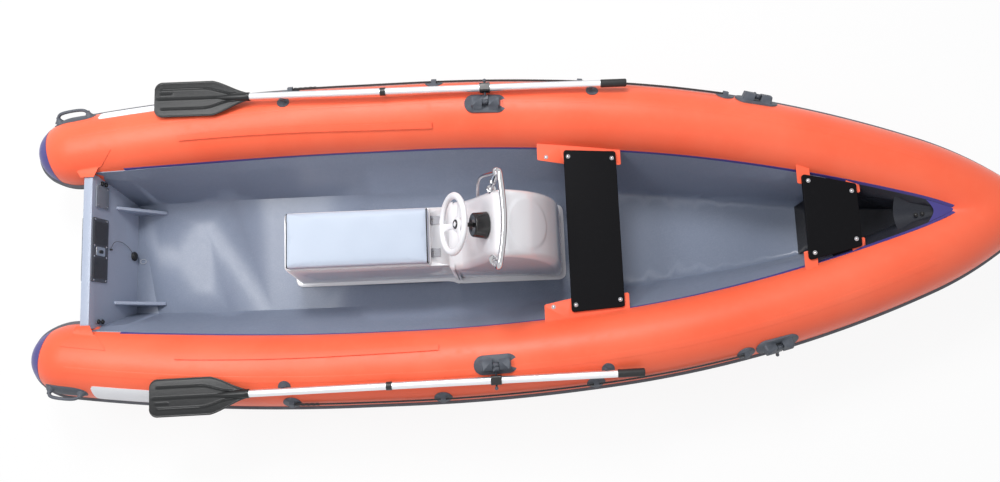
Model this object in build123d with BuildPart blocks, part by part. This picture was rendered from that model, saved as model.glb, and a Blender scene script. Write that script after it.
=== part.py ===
from build123d import *
import os
from math import sin, cos, tan, asin, atan2, hypot, radians, degrees, sqrt

os.makedirs("parts", exist_ok=True)

# Rigid inflatable boat. Millimetres, +X to the bow, +Y to port, +Z up.
# The origin is on the centreline at the waterline, under the transom's top edge.

# ---------------------------------------------------------------- driving sizes
deck_z = 60              # deck above the waterline
keel_z = -150            # keel below the waterline

tube_r = 184             # buoyancy tube radius
tube_half_beam = 651     # centreline of a tube from the middle of the boat, at its widest
tube_z = 360             # tube centre above the waterline, aft of the sheer
tube_end_x = -60         # where the round tube ends and its taper starts
widest_x = 1400          # tubes run straight here, and the sheer starts
sheer_r = 4000           # bend of the tubes where the sheer starts
sheer_angle = 3.0        # rise of the forward half
stern_angle = 8.0        # toe-in of the tubes at the stern
bow_x = [2700, 4200]     # where the curve of the bow tightens
bow_angle = [6.3, 22.0, 38.0]    # heading at those places and at the nose

cone_seam_r = 135        # seam between the tube's taper and its end cap
cone_taper = 150         # length of the taper
cone_cap = 75            # depth of the end cap

liner_t = 8              # deck and inner wall laminate
deck_half = 316          # half width of the deck
fold_half, fold_up = 430, 280    # crease along the inner wall: half width, height over the deck
corner_x = 213           # the crease starts here, and the wall runs plain to the transom
corner_deck, corner_fold = 302, [391, 360]
transom_t = 46
transom_rake = 6.0
transom_top_z = 488
transom_top_half = 396

rubber_t = 3             # glued patches and bases
glue_t = 0.2
fabric_t = 1.5           # glued cloth
strake_w, strake_t = 46, 16
strip_w, strip_t = 30, 2
step_t = 8

seat_gap = 0.3           # between pieces of different bodies
pin_gap = 0.3            # round a pin in its bore

knee_y, knee_t = 256, 18     # knees of the transom
knee_top_z = 280
knee_tip_x = 256
strip_stations = [175, 500, 1000, 1600, 2200, 2800, 3300, 3700, 4050, 4250, 4400]
handle_bar_r = 10

oarlock_l, oarlock_w = 215, 95     # pad of an oarlock
cheek_l, cheek_w = 150, 58
swivel_lift = 24         # axis of the swivel over the tube
swivel_r, swivel_l = 13, 30
swivel_side_gap = 2
swivel_pin_r, swivel_pin_l = 5, 18
oar_pin_r = 5
ball_r = 9
pin_drop = 60            # an empty oarlock's pin hangs this far below level

oar_r, oar_wall = 18, 1.5
oar_offset = 73          # from the swivel's axis to the middle of the oar
oar_yaw = 0.0134         # the oar's lean outboard to the stern, in radians
oar_pitch = 0.0227       # and down to the stern
oar_shaft_x = [800, 2670]
oar_blade_x = [390, 872]
oar_blade_w, oar_blade_t = 195, 7
oar_ring_x = 1567        # joint ring of the two halves of the shaft
oar_grip_l = 130
sleeve_l, sleeve_w = 52, 46
clip_x = [1045, 2620]
clip_w, clip_t, clip_gap, clip_pad_d = 18, 3, 3, 62
clip_mouth = -6          # the cup ends this far under the middle of the oar

thwart_t = 14
aft_thwart = [2475, 2742, 416, 398, 500]      # aft edge, forward edge, half widths there, top
fore_thwart = [3640, 3905, 216, 156, 608]
flap_t = 3

flange_t = 8             # foot flange of the console
foot_z = deck_z + 0.5    # on a bed of sealant
flange_x = [986, 1870, 2490]
flange_half = [196, 212]
console_wall = 6
seat_x = [1006, 1030]    # aft wall of the seat box at its foot and at its top
seat_half = [178, 150]
seat_top_z = 468
locker_mouth_x = [1075, 1745]
locker_mouth_half = 118
locker_floor = 12
console_half = [196, 160]    # sides of the console at the deck and at its crest
console_crest_z = 848
console_edge_r = 26

lid_x = [1041, 1778]
lid_half = 148
lid_t = 12
cushion_t = 50
hinge_y, hinge_w = 84, 43
hinge_pin_x = 1784
hinge_r, hinge_pin_r = 6, 2.5
hinge_leaf_l, hinge_leaf_t = 40, 3

wheel_x, wheel_z = 1917, 840
wheel_tilt = 27
wheel_r, wheel_rim_r = 149, 13
hub_r = 34
steering_shaft_r = 10
helm_depth = 168         # from the middle of the wheel to the dash along the shaft
bezel_l, bezel_w, bezel_h = 70, 120, 100

rail_r, rail_post_r, rail_leg_r = 13, 9.5, 8

pad_w, pad_h, pad_t = 332, 136, 6        # motor pads on the transom
drain_y, drain_z = 12, 102
bung_r = 19
lanyard_r = 1.2
lanyard_eye_y, lanyard_eye_z, lanyard_eye_r = 24, 322, 5
eye_nut_z = [384, 418]
eye_bolt_y = 360
plate_y, plate_w = 290, 116
eye_bolt_r = 5

eye_x = [1067, 1815, 2560, 3277]
eye_angle = 150
eye_d = 90
keeper_l, keeper_w = 26, 36
rope_r, rope_lift = 5, 11


# ---------------------------------------------------------------- saving
def save(shape, name):
    shape.label = name
    export_step(shape, f"parts/{name}.step")


def other_side(shape):
    """The starboard twin of a port piece."""
    return shape.mirror(Plane.XZ)


def save_pair(shape, name):
    save(shape, name + "_port")
    save(other_side(shape), name + "_starboard")


def both_sides(shape):
    """A piece and its twin as one set."""
    return Compound([*shape.solids(), *other_side(shape).solids()])


# ---------------------------------------------------------------- tube centreline
sheer = radians(sheer_angle)
stern_r = (widest_x - tube_end_x) / sin(radians(stern_angle))
rise_x = widest_x + sheer_r * sin(sheer)
rise_z = tube_z + sheer_r * (1 - cos(sheer))


def bow_arcs():
    """The curve of the bow in its own tilted plane: start, half beam, headings and radius of each arc."""
    arcs = []
    start, half, heading = 0.0, tube_half_beam, 0.0
    for i, turn in enumerate(bow_angle):
        h0, h1 = radians(heading), radians(turn)
        if i < len(bow_x):
            end = (bow_x[i] - rise_x) / cos(sheer)
            r = (end - start) / (sin(h1) - sin(h0))
        else:
            r = half / (cos(h0) - cos(h1))
            end = start + r * (sin(h1) - sin(h0))
        arcs.append((start, half, h0, h1, r))
        start, half, heading = end, half - r * (cos(h0) - cos(h1)), turn
    return arcs


def bow_point(arc, h):
    start, half, h0, h1, r = arc
    u = start + r * (sin(h) - sin(h0))
    return (rise_x + u * cos(sheer), half - r * (cos(h0) - cos(h)), rise_z + u * sin(sheer))


def stern_point(a):
    return (widest_x - stern_r * sin(a), tube_half_beam - stern_r * (1 - cos(a)), tube_z)


def rise_point(a):
    return (widest_x + sheer_r * sin(a), tube_half_beam, tube_z + sheer_r * (1 - cos(a)))


def tube_at(x):
    """Centre of the port tube at x: its y, its z and its heading in radians, 0 along +X."""
    if x <= widest_x:
        a = asin((widest_x - x) / stern_r)
        return tube_half_beam - stern_r * (1 - cos(a)), tube_z, a
    if x <= rise_x:
        a = asin((x - widest_x) / sheer_r)
        return tube_half_beam, tube_z + sheer_r * (1 - cos(a)), 0.0
    u = (x - rise_x) / cos(sheer)
    arc = [a for a in bow_arcs() if a[0] <= u][-1]
    start, half, h0, h1, r = arc
    h = asin(sin(h0) + (u - start) / r)
    return half - r * (cos(h0) - cos(h)), rise_z + u * sin(sheer), -h


def inner_angle(x):
    """Where the inner wall meets the tube, in degrees above the level of the tube's centre."""
    if x > 2300:
        return 10 + 38 * ((x - 2300) / 2090) ** 2
    if x < 1300:
        return 10 + 25 * ((1300 - x) / 1300) ** 2
    return 10.0


def on_tube(x, angle, lift=0.0):
    """A point of the port tube's surface at x, angle degrees up from level on its inner side."""
    y, z, h = tube_at(x)
    r, a = tube_r + lift, radians(angle)
    return (x + r * cos(a) * sin(h), y - r * cos(a) * cos(h), z + r * sin(a))


def seat_plane(x, angle, lift=0.0):
    """On the port tube at x: z points out of the tube and x along it to the bow."""
    y, z, h = tube_at(x)
    a = radians(angle)
    out = Vector(cos(a) * sin(h), -cos(a) * cos(h), sin(a))
    return Plane(origin=on_tube(x, angle, lift), x_dir=(cos(h), sin(h), 0), z_dir=out)


with BuildLine() as tube_line:
    stern_a = radians(stern_angle)
    ThreePointArc(stern_point(stern_a), stern_point(stern_a / 2), stern_point(0))
    ThreePointArc(rise_point(0), rise_point(sheer / 2), rise_point(sheer))
    for arc in bow_arcs():
        ThreePointArc(bow_point(arc, arc[2]), bow_point(arc, (arc[2] + arc[3]) / 2),
                      bow_point(arc, arc[3]))
tube_path = tube_line.wires()[0]
tube_start = Vector(*stern_point(stern_a))
tube_ahead = Vector(cos(stern_a), sin(stern_a), 0)
across_start = Plane(origin=tube_start, x_dir=(-sin(stern_a), cos(stern_a), 0), z_dir=tube_ahead)
last_arc = bow_arcs()[-1]
nose = Vector(*bow_point(last_arc, last_arc[3]))
nose_h = last_arc[3]
nose_ahead = Vector(cos(nose_h) * cos(sheer), -sin(nose_h), cos(nose_h) * sin(sheer))
nose_up = Vector(-sin(sheer), 0, cos(sheer))
across_nose = Plane(origin=nose, x_dir=nose_up.cross(nose_ahead), z_dir=nose_ahead)

# ---------------------------------------------------------------- buoyancy tubes
tail_plane = Plane(origin=tube_start, x_dir=-tube_ahead, z_dir=(-sin(stern_a), cos(stern_a), 0))
tail_axis = Axis(tube_start, -tube_ahead)
taper_r = (cone_taper ** 2 + (tube_r - cone_seam_r) ** 2) / (2 * (tube_r - cone_seam_r))
taper_turn = asin(cone_taper / taper_r)
cap_c = ((cone_taper + cone_cap) ** 2 - cone_taper ** 2 - cone_seam_r ** 2) / (2 * cone_cap)
cap_r = cone_taper + cone_cap - cap_c
cap_turn = asin(cone_seam_r / cap_r)


def taper_point(a, grow=0.0):
    return ((taper_r + grow) * sin(a), tube_r - taper_r + (taper_r + grow) * cos(a))


def cap_point(a, grow=0.0):
    return (cap_c + (cap_r + grow) * cos(a), (cap_r + grow) * sin(a))


with BuildPart() as tube:
    with BuildSketch(across_start):
        Circle(tube_r)
    sweep(path=tube_path)
    with BuildSketch(tail_plane):
        with BuildLine():
            seam = taper_point(taper_turn)
            ThreePointArc(taper_point(0), taper_point(taper_turn / 2), seam)
            Polyline(seam, (seam[0], 0), (0, 0), taper_point(0))
        make_face()
    revolve(axis=tail_axis)
    with Locations(Location(nose)):
        Sphere(tube_r)
    split(bisect_by=Plane.XZ, keep=Keep.BOTTOM)
save_pair(tube.part, "tube")

with BuildPart() as tube_clear:
    with BuildSketch(across_start):
        Circle(tube_r + glue_t)
    sweep(path=tube_path)

with BuildPart() as end_cap:
    with BuildSketch(tail_plane):
        with BuildLine():
            tip = cap_point(0)
            ThreePointArc(seam, cap_point(cap_turn / 2), tip)
            Polyline(tip, (seam[0], 0), seam)
        make_face()
    revolve(axis=tail_axis)
save_pair(end_cap.part, "end_cap")


# ---------------------------------------------------------------- rubbing strake
# A D-shaped rubber along the widest line of the tubes, round the nose and round both end caps.
def strake_section():
    """The strake's outline beside a tube centred on the origin."""
    with BuildSketch(Plane.XY) as section:
        with Locations((tube_r + strake_t / 2 - 4, 0)):
            Rectangle(strake_t + 8, strake_w)
        fillet(section.vertices().group_by(Axis.X)[-1], 6)
        Circle(tube_r, mode=Mode.SUBTRACT)
    return section.sketch


with BuildPart() as rub_strake:
    with BuildSketch(across_start):
        add(strake_section())
    sweep(path=tube_path)
    with BuildSketch(across_nose):
        add(strake_section())
    revolve(axis=Axis(nose, nose_up), revolution_arc=-(90 - degrees(nose_h)))
with BuildPart() as strake_tail:
    with BuildSketch(Plane(tube_start - (0, 0, strake_w / 2), x_dir=-tube_ahead)):
        with BuildLine():
            turn = taper_turn / 20
            widest, tip = taper_point(turn, strake_t), cap_point(0, strake_t)
            bend = cap_point(cap_turn, strake_t)
            ThreePointArc(widest, taper_point(taper_turn / 2, strake_t), bend)
            ThreePointArc(bend, cap_point(cap_turn / 2, strake_t), tip)
            Polyline(tip, (widest[0], 0), widest)
        make_face()
        mirror(about=Plane.XZ)
    extrude(amount=strake_w)
    add(tube.part, mode=Mode.SUBTRACT)
    with Locations(Location(tube_start - tube_ahead * cap_c)):
        Sphere(cap_r, mode=Mode.SUBTRACT)
save_pair(Compound(rub_strake.part.solids() + strake_tail.part.solids()), "rub_strake")

# ---------------------------------------------------------------- inner liner
liner_end_x = 4300
fold_end_x = 4300
bow_rise = 500           # how far the deck climbs to the bow
keel_half = 4            # half width of the deck where it ends
wall_clear = 10          # the wall passes the tube this far off
liner_headroom = 90      # how far the open space is taken past the top of the wall
shelf_lift = 3           # the wall stops this far off the tube and turns out to it
shelf_w = 30             # the shelf runs this far into the tube before it is cut there
wall_lean = 5            # degrees the wall leans out past the tube's own side


def share(x, x0, x1):
    """How far x lies from x0 to x1, 0 before it."""
    return max(0.0, (x - x0) / (x1 - x0))


def wall_top(x):
    """Where the inner wall ends beside the tube: its half width and height."""
    at = x
    for _ in range(6):
        at += x - on_tube(at, inner_angle(at), shelf_lift)[0]
    _, y, z = on_tube(at, inner_angle(at), shelf_lift)
    return y, z


def liner_shape(x):
    """Half width of the deck, its rise to the bow, and the fold of the wall: half width and height."""
    if x < corner_x:
        return corner_deck, 0, corner_fold[0], corner_fold[1]
    deck = deck_half * (1 - share(x, 1100, 4400) ** 2.6) - 10 * share(-x, -1100, -corner_x) ** 2
    fold = fold_half * (1 - share(x, 1600, fold_end_x) ** 2.1) - 55 * share(-x, -1600, -corner_x) ** 2
    fold = max(fold, 10)
    rise = bow_rise * share(x, 3350, liner_end_x) ** 2.7
    up = fold_up + 200 * share(x, 2300, liner_end_x) ** 2
    top_y, top_z = wall_top(x)
    up = max(up, top_z - deck_z - (top_y - fold) / tan(radians(inner_angle(x) + wall_lean)))
    beside, clear_r = tube_at(x)[0] - fold, tube_r + wall_clear
    if beside < clear_r:
        up = max(up, tube_at(x)[1] - deck_z + sqrt(clear_r ** 2 - beside ** 2))
        slope = sqrt(clear_r ** 2 - beside ** 2) / beside
        rise = max(rise, up - (fold - keel_half) / slope)
        deck = min(deck, fold - (up - rise) * slope)
    return min(deck, fold - 6), min(rise, up - 4), fold, up


def liner_section(x, grow, top_up):
    """Outline of the inner wall at x, grown outwards by grow and raised past its top by top_up."""
    deck, rise, fold, up = liner_shape(x)
    top_y, top_z = wall_top(x)
    wall_y = max(top_y, fold + 3) + grow
    half = [(deck + grow * 0.8, deck_z + rise - grow), (fold + grow, deck_z + up - grow * 0.4),
            (wall_y, top_z - grow), (wall_y + shelf_w, top_z - grow), (wall_y + shelf_w, top_z + top_up)]
    return half + [(-y, z) for y, z in reversed(half)]


def station_loft(outlines):
    """A solid through closed outlines, each given as x and its (y, z) corners."""
    with BuildPart() as form:
        for x, corners in outlines:
            with BuildSketch(Plane(origin=(x, 0, 0), x_dir=(0, 1, 0), z_dir=(1, 0, 0))):
                with BuildLine():
                    Polyline(*corners, close=True)
                make_face()
        loft()
    return form.part


def liner_form(grow, top_up):
    """The space inside the boat, its walls moved outwards by grow."""
    ahead = [corner_x + (liner_end_x - corner_x) * i / 12 for i in range(13)]
    with BuildPart() as form:
        for stations in ([20, corner_x], ahead):
            add(station_loft([(x, liner_section(x, grow, top_up)) for x in stations]))
    return form.part


# ---------------------------------------------------------------- transom
rake = radians(transom_rake)


def transom_x(z):
    """The transom's inner face at height z."""
    return transom_t / cos(rake) + (transom_top_z - z) * tan(rake)


def transom_face(y, z):
    """On the transom's inner face: z points into the boat, x to port and y up the face."""
    return Plane(origin=(transom_x(z), y, z), x_dir=(0, 1, 0), z_dir=(cos(rake), 0, sin(rake)))


def up_face(z):
    """Height z measured up the raked face from the deck."""
    return (z - deck_z) / cos(rake)


transom_in = transom_face(0, deck_z)

# ---------------------------------------------------------------- hull
hull_x = [-40, 4480]
chine_half = 378
chine_z = -4


def hull_section(x):
    """Outline of the hull at x: keel, chine and a side that runs up inside the tube."""
    keel = keel_z + 320 * share(x, 1900, 4400) ** 4.3 + 130 * share(x, 4100, hull_x[1]) ** 2
    chine = chine_half * (1 - share(x, 1500, 4500) ** 2.6) - 26 * share(-x, -900, 40) ** 2
    chine_up = chine_z + 296 * share(x, 1300, 4400) ** 3.2
    y, z, _ = tube_at(x)
    side = max(y - 70, chine + 12)
    half = [(chine, chine_up), (side, z - 60), (side, z + 70)]
    return [(0, keel)] + half + [(-y, z) for y, z in reversed(half)]


hull_stops = [hull_x[0] + (hull_x[1] - hull_x[0]) * i / 12 for i in range(13)]
with BuildPart() as hull:
    add(station_loft([(x, hull_section(x)) for x in hull_stops]))
    add(tube.part, mode=Mode.SUBTRACT)
    add(other_side(tube.part), mode=Mode.SUBTRACT)
    add(liner_form(liner_t, liner_headroom), mode=Mode.SUBTRACT)
    split(bisect_by=transom_in, keep=Keep.TOP)
hull_body = hull.part.solids().sort_by(SortBy.VOLUME)[-1]
save(Part([hull_body]), "hull")

with BuildPart() as liner:
    add(liner_form(liner_t, 4))
    add(liner_form(0, liner_headroom), mode=Mode.SUBTRACT)
    add(tube.part, mode=Mode.SUBTRACT)
    add(other_side(tube.part), mode=Mode.SUBTRACT)
    split(bisect_by=transom_in, keep=Keep.TOP)
liner_body = liner.part.solids().sort_by(SortBy.VOLUME)[-1]
save(Part([liner_body]), "liner")

with BuildPart() as transom:
    keel_point, chine_point = hull_section(transom_t)[:2]
    with BuildSketch(transom_in):
        with BuildLine():
            top_v = up_face(transom_top_z)
            half = [(transom_top_half, top_v), (transom_top_half, up_face(tube_z + 60)),
                    (490, up_face(tube_z - 60)), (chine_point[0], up_face(chine_point[1]))]
            Polyline(*half, (0, up_face(keel_point[1])), *[(-y, v) for y, v in reversed(half)], close=True)
        corners = make_face().vertices().group_by(Axis.Z)[-1]
        fillet(corners, 22)
    extrude(amount=-transom_t)
    add(tube.part, mode=Mode.SUBTRACT)
    add(other_side(tube.part), mode=Mode.SUBTRACT)
save(transom.part, "transom")

# Triangular knees that brace the transom against the deck.
knee_foot_z = deck_z + 0.3
with BuildPart() as knees:
    with BuildSketch(Plane.XZ.offset(-knee_y - knee_t / 2)):
        with BuildLine():
            Polyline((transom_x(knee_foot_z), knee_foot_z), (knee_tip_x, knee_foot_z), (knee_tip_x, knee_foot_z + 8),
                     (transom_x(knee_top_z) + 12, knee_top_z), (transom_x(knee_top_z), knee_top_z), close=True)
        make_face()
    extrude(amount=knee_t)
save(both_sides(knees.part), "transom_knees")

# Cloth patches that close the corners between the transom and the tubes.
with BuildPart() as gusset:
    gusset_plane = seat_plane(30, 65.5)
    with BuildSketch(gusset_plane):
        with BuildLine():
            Polyline((-113, 8), (-27, -104), (50, -104), (114, 8), close=True)
        fillet(make_face().vertices(), 10)
    extrude(amount=fabric_t)
    add(tube.part, mode=Mode.SUBTRACT)
    add(transom.part, mode=Mode.SUBTRACT)
save(both_sides(gusset.part), "transom_gussets")


# ---------------------------------------------------------------- strips glued along the tubes
def tube_strip(stations, width, lift):
    """A thin strip along the tube through stations of x and angle."""
    with BuildPart() as strip:
        for x, angle in stations:
            y, z, h = tube_at(x)
            spread = degrees(width / 2 / tube_r)
            with BuildSketch(Plane(origin=(x, y, z), x_dir=(sin(h), -cos(h), 0), z_dir=(-cos(h), -sin(h), 0))):
                with BuildLine():
                    low = CenterArc((0, 0), tube_r - 2, angle - spread, 2 * spread)
                    top = CenterArc((0, 0), tube_r + lift, angle - spread, 2 * spread)
                    Line(low @ 0, top @ 0)
                    Line(low @ 1, top @ 1)
                make_face()
        loft()
        add(tube.part, mode=Mode.SUBTRACT)
    return strip.part


with BuildPart() as joint_strip:
    add(tube_strip([(x, inner_angle(x)) for x in strip_stations], strip_w, strip_t))
    add(liner.part, mode=Mode.SUBTRACT)
    add(hull.part, mode=Mode.SUBTRACT)
joint_strip = joint_strip.part.solids().sort_by(SortBy.VOLUME)[-1]
save(both_sides(Part([joint_strip])), "joint_strips")
step_strip = tube_strip([(500, 72), (900, 68.5), (1350, 65), (1810, 62.5)], strip_w, step_t)
save(both_sides(step_strip), "step_strips")


# ---------------------------------------------------------------- fittings glued on the tubes
def tube_pad(x, angle, length, width, t):
    """A round-ended rubber pad that follows the tube."""
    with BuildPart() as pad:
        with BuildSketch(seat_plane(x, angle, -30)):
            SlotOverall(length, width)
        extrude(amount=30 + t)
        add(tube.part, mode=Mode.SUBTRACT)
    return pad.part


def bar_handle(x, angle):
    """A grip bar bridging a pad."""
    plane = seat_plane(x, angle)
    with BuildPart() as handle:
        add(tube_pad(x, angle, 210, 74, rubber_t))
        with BuildLine(plane) as bar:
            FilletPolyline((-78, 0, 4.5), (-62, 0, 38), (62, 0, 38), (78, 0, 4.5), radius=16)
        with BuildSketch(Plane(origin=bar.line @ 0, z_dir=bar.line % 0)):
            Circle(handle_bar_r)
        sweep()
    return handle.part


save_pair(bar_handle(-50, 147), "stern_handle")


def oarlock_base(x, angle):
    """The moulded block that carries the swivel: two cheeks on a pad, bored for the swivel's pin."""
    with BuildPart() as base:
        add(tube_pad(x, angle, oarlock_l, oarlock_w, 4))
        with BuildSketch(seat_plane(x, angle, 2)):
            RectangleRounded(cheek_l, cheek_w, 12)
        extrude(amount=swivel_lift + 10, taper=8)
        add(tube_clear.part, mode=Mode.SUBTRACT)
        with BuildSketch(seat_plane(x, angle, 4)):
            Rectangle(swivel_l + 2 * swivel_side_gap, oarlock_w)
        extrude(amount=60, mode=Mode.SUBTRACT)
        with BuildSketch(swivel_plane(x, angle)):
            Circle(swivel_pin_r + pin_gap)
        extrude(amount=swivel_l / 2 + swivel_pin_l, both=True, mode=Mode.SUBTRACT)
    return base.part


def swivel_plane(x, angle):
    """Across the swivel's axis: z runs along the tube, x away from the boat's middle."""
    seat = seat_plane(x, angle, swivel_lift)
    drop = radians(0 if angle < 120 else pin_drop)
    out = Vector(0, cos(drop), -sin(drop))
    along = Vector(1, 0, 0) if angle < 120 else seat.x_dir
    return Plane(origin=seat.origin, x_dir=out - along * out.dot(along), z_dir=along)


def swivel(x, angle, reach):
    """Barrel and pin of an oarlock, its pin lying outboard and ending in a ball."""
    plane = swivel_plane(x, angle)
    with BuildPart() as body:
        with BuildSketch(plane):
            Circle(swivel_r)
            with Locations((swivel_r + 6, 0)):
                Rectangle(2 * swivel_r, 14)
        extrude(amount=swivel_l / 2, both=True)
        with BuildSketch(plane):
            Circle(swivel_pin_r)
        extrude(amount=swivel_l / 2 + swivel_pin_l - pin_gap, both=True)
        with BuildSketch(Plane(origin=plane.origin, x_dir=plane.z_dir, z_dir=plane.x_dir)):
            Circle(oar_pin_r)
        extrude(amount=reach)
        with Locations(plane.origin + plane.x_dir * reach):
            Sphere(ball_r)
    return body.part


aft_oarlock = (2085, 95)
fore_oarlock = (3425, 147)
save_pair(oarlock_base(*aft_oarlock), "oarlock_base_aft")
save_pair(oarlock_base(*fore_oarlock), "oarlock_base_fore")
save_pair(swivel(*aft_oarlock, 112), "oar_swivel_aft")
save_pair(swivel(*fore_oarlock, 74), "oar_swivel_fore")

# ---------------------------------------------------------------- oars, stowed along the tubes
lock = swivel_plane(*aft_oarlock)
sleeve_at = lock.origin + lock.x_dir * oar_offset
oar_ahead = Vector(1, -oar_yaw, oar_pitch).normalized()
oar_across = Vector(oar_yaw, 1, 0).normalized()
oar_up = oar_ahead.cross(oar_across)


def oar_station(x):
    """Across the oar at x: its z runs to the grip and its x outboard."""
    return Plane(origin=sleeve_at + oar_ahead * ((x - sleeve_at.X) / oar_ahead.X), x_dir=oar_across,
                 z_dir=oar_ahead)


oar_pin = Plane(origin=lock.origin, x_dir=lock.z_dir, z_dir=lock.x_dir)
with BuildPart() as oar_shaft:
    with BuildSketch(oar_station(oar_shaft_x[0])):
        Circle(oar_r)
        Circle(oar_r - oar_wall, mode=Mode.SUBTRACT)
    extrude(amount=oar_shaft_x[1] - oar_shaft_x[0])
    with BuildSketch(oar_pin):
        Circle(oar_pin_r)
    extrude(amount=200, mode=Mode.SUBTRACT)
save_pair(oar_shaft.part, "oar_shaft")

with BuildPart() as oar_blade:
    blade_flat = Plane(origin=oar_station(oar_blade_x[1]).origin, x_dir=-oar_ahead, z_dir=oar_up)
    blade_l = oar_blade_x[1] - oar_blade_x[0]
    with BuildSketch(blade_flat) as blade_outline:
        with BuildLine():
            Polyline((0, 24), (120, oar_blade_w / 2), (blade_l, oar_blade_w / 2), (blade_l, -oar_blade_w / 2),
                     (120, -oar_blade_w / 2), (0, -24), close=True)
        make_face()
        fillet(blade_outline.vertices().group_by(Axis.X)[0], 30)
        fillet(blade_outline.vertices().group_by(Axis.X)[-1], 8)
    extrude(amount=oar_blade_t / 2, both=True)
    with BuildSketch(blade_flat):
        for rib_y, rib_l in ((0, blade_l - 30), (52, blade_l - 130), (-52, blade_l - 130)):
            with Locations((blade_l - 20 - rib_l / 2, rib_y)):
                SlotOverall(rib_l, 12)
    extrude(amount=oar_blade_t / 2 + 5, both=True)
    with BuildSketch(oar_station(oar_shaft_x[0] + 60)):
        Circle(oar_r + 4)
    extrude(amount=-150, taper=4)
    with BuildSketch(oar_station(oar_shaft_x[0])):
        Circle(oar_r)
    extrude(amount=100, mode=Mode.SUBTRACT)
save_pair(oar_blade.part, "oar_blade")

with BuildPart() as oar_grip:
    with BuildSketch(oar_station(oar_shaft_x[1])):
        Circle(oar_r + 2)
    extrude(amount=oar_grip_l)
    fillet(oar_grip.edges().filter_by(GeomType.CIRCLE), 5)
save_pair(oar_grip.part, "oar_grip")

with BuildPart() as oar_sleeve:
    with BuildSketch(oar_station(sleeve_at.X - sleeve_l / 2)):
        RectangleRounded(sleeve_w, sleeve_w, 10)
    extrude(amount=sleeve_l)
    with BuildSketch(oar_station(oar_ring_x - 14)):
        Circle(oar_r + 3)
    extrude(amount=28)
    with BuildSketch(oar_station(oar_shaft_x[0])):
        Circle(oar_r)
    extrude(amount=oar_shaft_x[1] - oar_shaft_x[0], mode=Mode.SUBTRACT)
    with BuildSketch(oar_pin):
        Circle(oar_pin_r)
    extrude(amount=200, mode=Mode.SUBTRACT)
save_pair(oar_sleeve.part, "oar_sleeve")


def oar_clip(x):
    """A spring cup for the oar on a round pad, open along the line from the tube's centre."""
    at = oar_station(x).origin
    y, z, _ = tube_at(x)
    angle = 180 - degrees(atan2(at.Z - z, at.Y - y))
    cup = Plane(origin=at, x_dir=(0, at.Z - z, y - at.Y), z_dir=(1, 0, 0))
    with BuildPart() as clip:
        add(tube_pad(x, angle, clip_pad_d + 1, clip_pad_d, rubber_t))
        with BuildSketch(Plane(origin=(x - clip_w / 2, at.Y, at.Z), x_dir=cup.x_dir, z_dir=(1, 0, 0))):
            Circle(oar_r + clip_gap + clip_t)
            with Locations((0, -oar_r - 25)):
                Rectangle(18, 50)
            Circle(oar_r + clip_gap, mode=Mode.SUBTRACT)
            with Locations((0, 30 + clip_mouth)):
                Rectangle(80, 60, mode=Mode.SUBTRACT)
        extrude(amount=clip_w)
        add(tube.part, mode=Mode.SUBTRACT)
    return clip.part


save_pair(Compound([*oar_clip(clip_x[0]).solids(), *oar_clip(clip_x[1]).solids()]), "oar_clips")

# ---------------------------------------------------------------- lifelines
rope_path_x = [eye_x[0], 1250, 1440, 1630, eye_x[1], 2000, 2190, 2380, eye_x[2], 2740, 2920, 3100, eye_x[3]]


def eyelet(x):
    """A round patch with a keeper that the rope runs through."""
    with BuildPart() as eye:
        add(tube_pad(x, eye_angle, eye_d + 1, eye_d, rubber_t))
        with BuildSketch(seat_plane(x, eye_angle, 1)):
            RectangleRounded(keeper_l, keeper_w, 5)
        extrude(amount=rope_lift + rope_r + 4)
    return eye.part


with BuildPart() as lifeline:
    with BuildLine() as rope_route:
        FilletPolyline(*[on_tube(x, eye_angle, rope_lift) for x in rope_path_x], radius=800)
    with BuildSketch(Plane(origin=rope_route.line @ 0, z_dir=rope_route.line % 0)):
        Circle(rope_r)
    sweep()
save_pair(lifeline.part, "lifeline")
with BuildPart() as eyelets:
    for x in eye_x:
        add(eyelet(x))
    add(lifeline.part, mode=Mode.SUBTRACT)
save_pair(Compound(eyelets.part.solids()), "lifeline_eyelets")

# ---------------------------------------------------------------- thwarts
def thwart(x0, x1, half0, half1, top_z):
    with BuildPart() as board:
        with BuildSketch(Plane.XY.offset(top_z - thwart_t)) as outline:
            with BuildLine():
                Polyline((x0, half0), (x1, half1), (x1, -half1), (x0, -half0), close=True)
            make_face()
            fillet(outline.vertices(), 14)
        extrude(amount=thwart_t)
        fillet(board.faces().sort_by(Axis.Z)[-1].edges(), 4)
    return board.part


save(thwart(*aft_thwart), "thwart_aft")
save(thwart(*fore_thwart), "thwart_fore")


def flap(top_z, *corners):
    """A cloth flap from the tube to the underside of a thwart."""
    with BuildPart() as cloth:
        with BuildSketch(Plane.XY.offset(top_z - thwart_t - flap_t)):
            with BuildLine():
                Polyline(*corners, close=True)
            fillet(make_face().vertices(), 8)
        extrude(amount=flap_t)
        add(tube.part, mode=Mode.SUBTRACT)
        add(joint_strip, mode=Mode.SUBTRACT)
        add(liner_body, mode=Mode.SUBTRACT)
    return [cloth.part.solids().sort_by(SortBy.VOLUME)[-1]]


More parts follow.
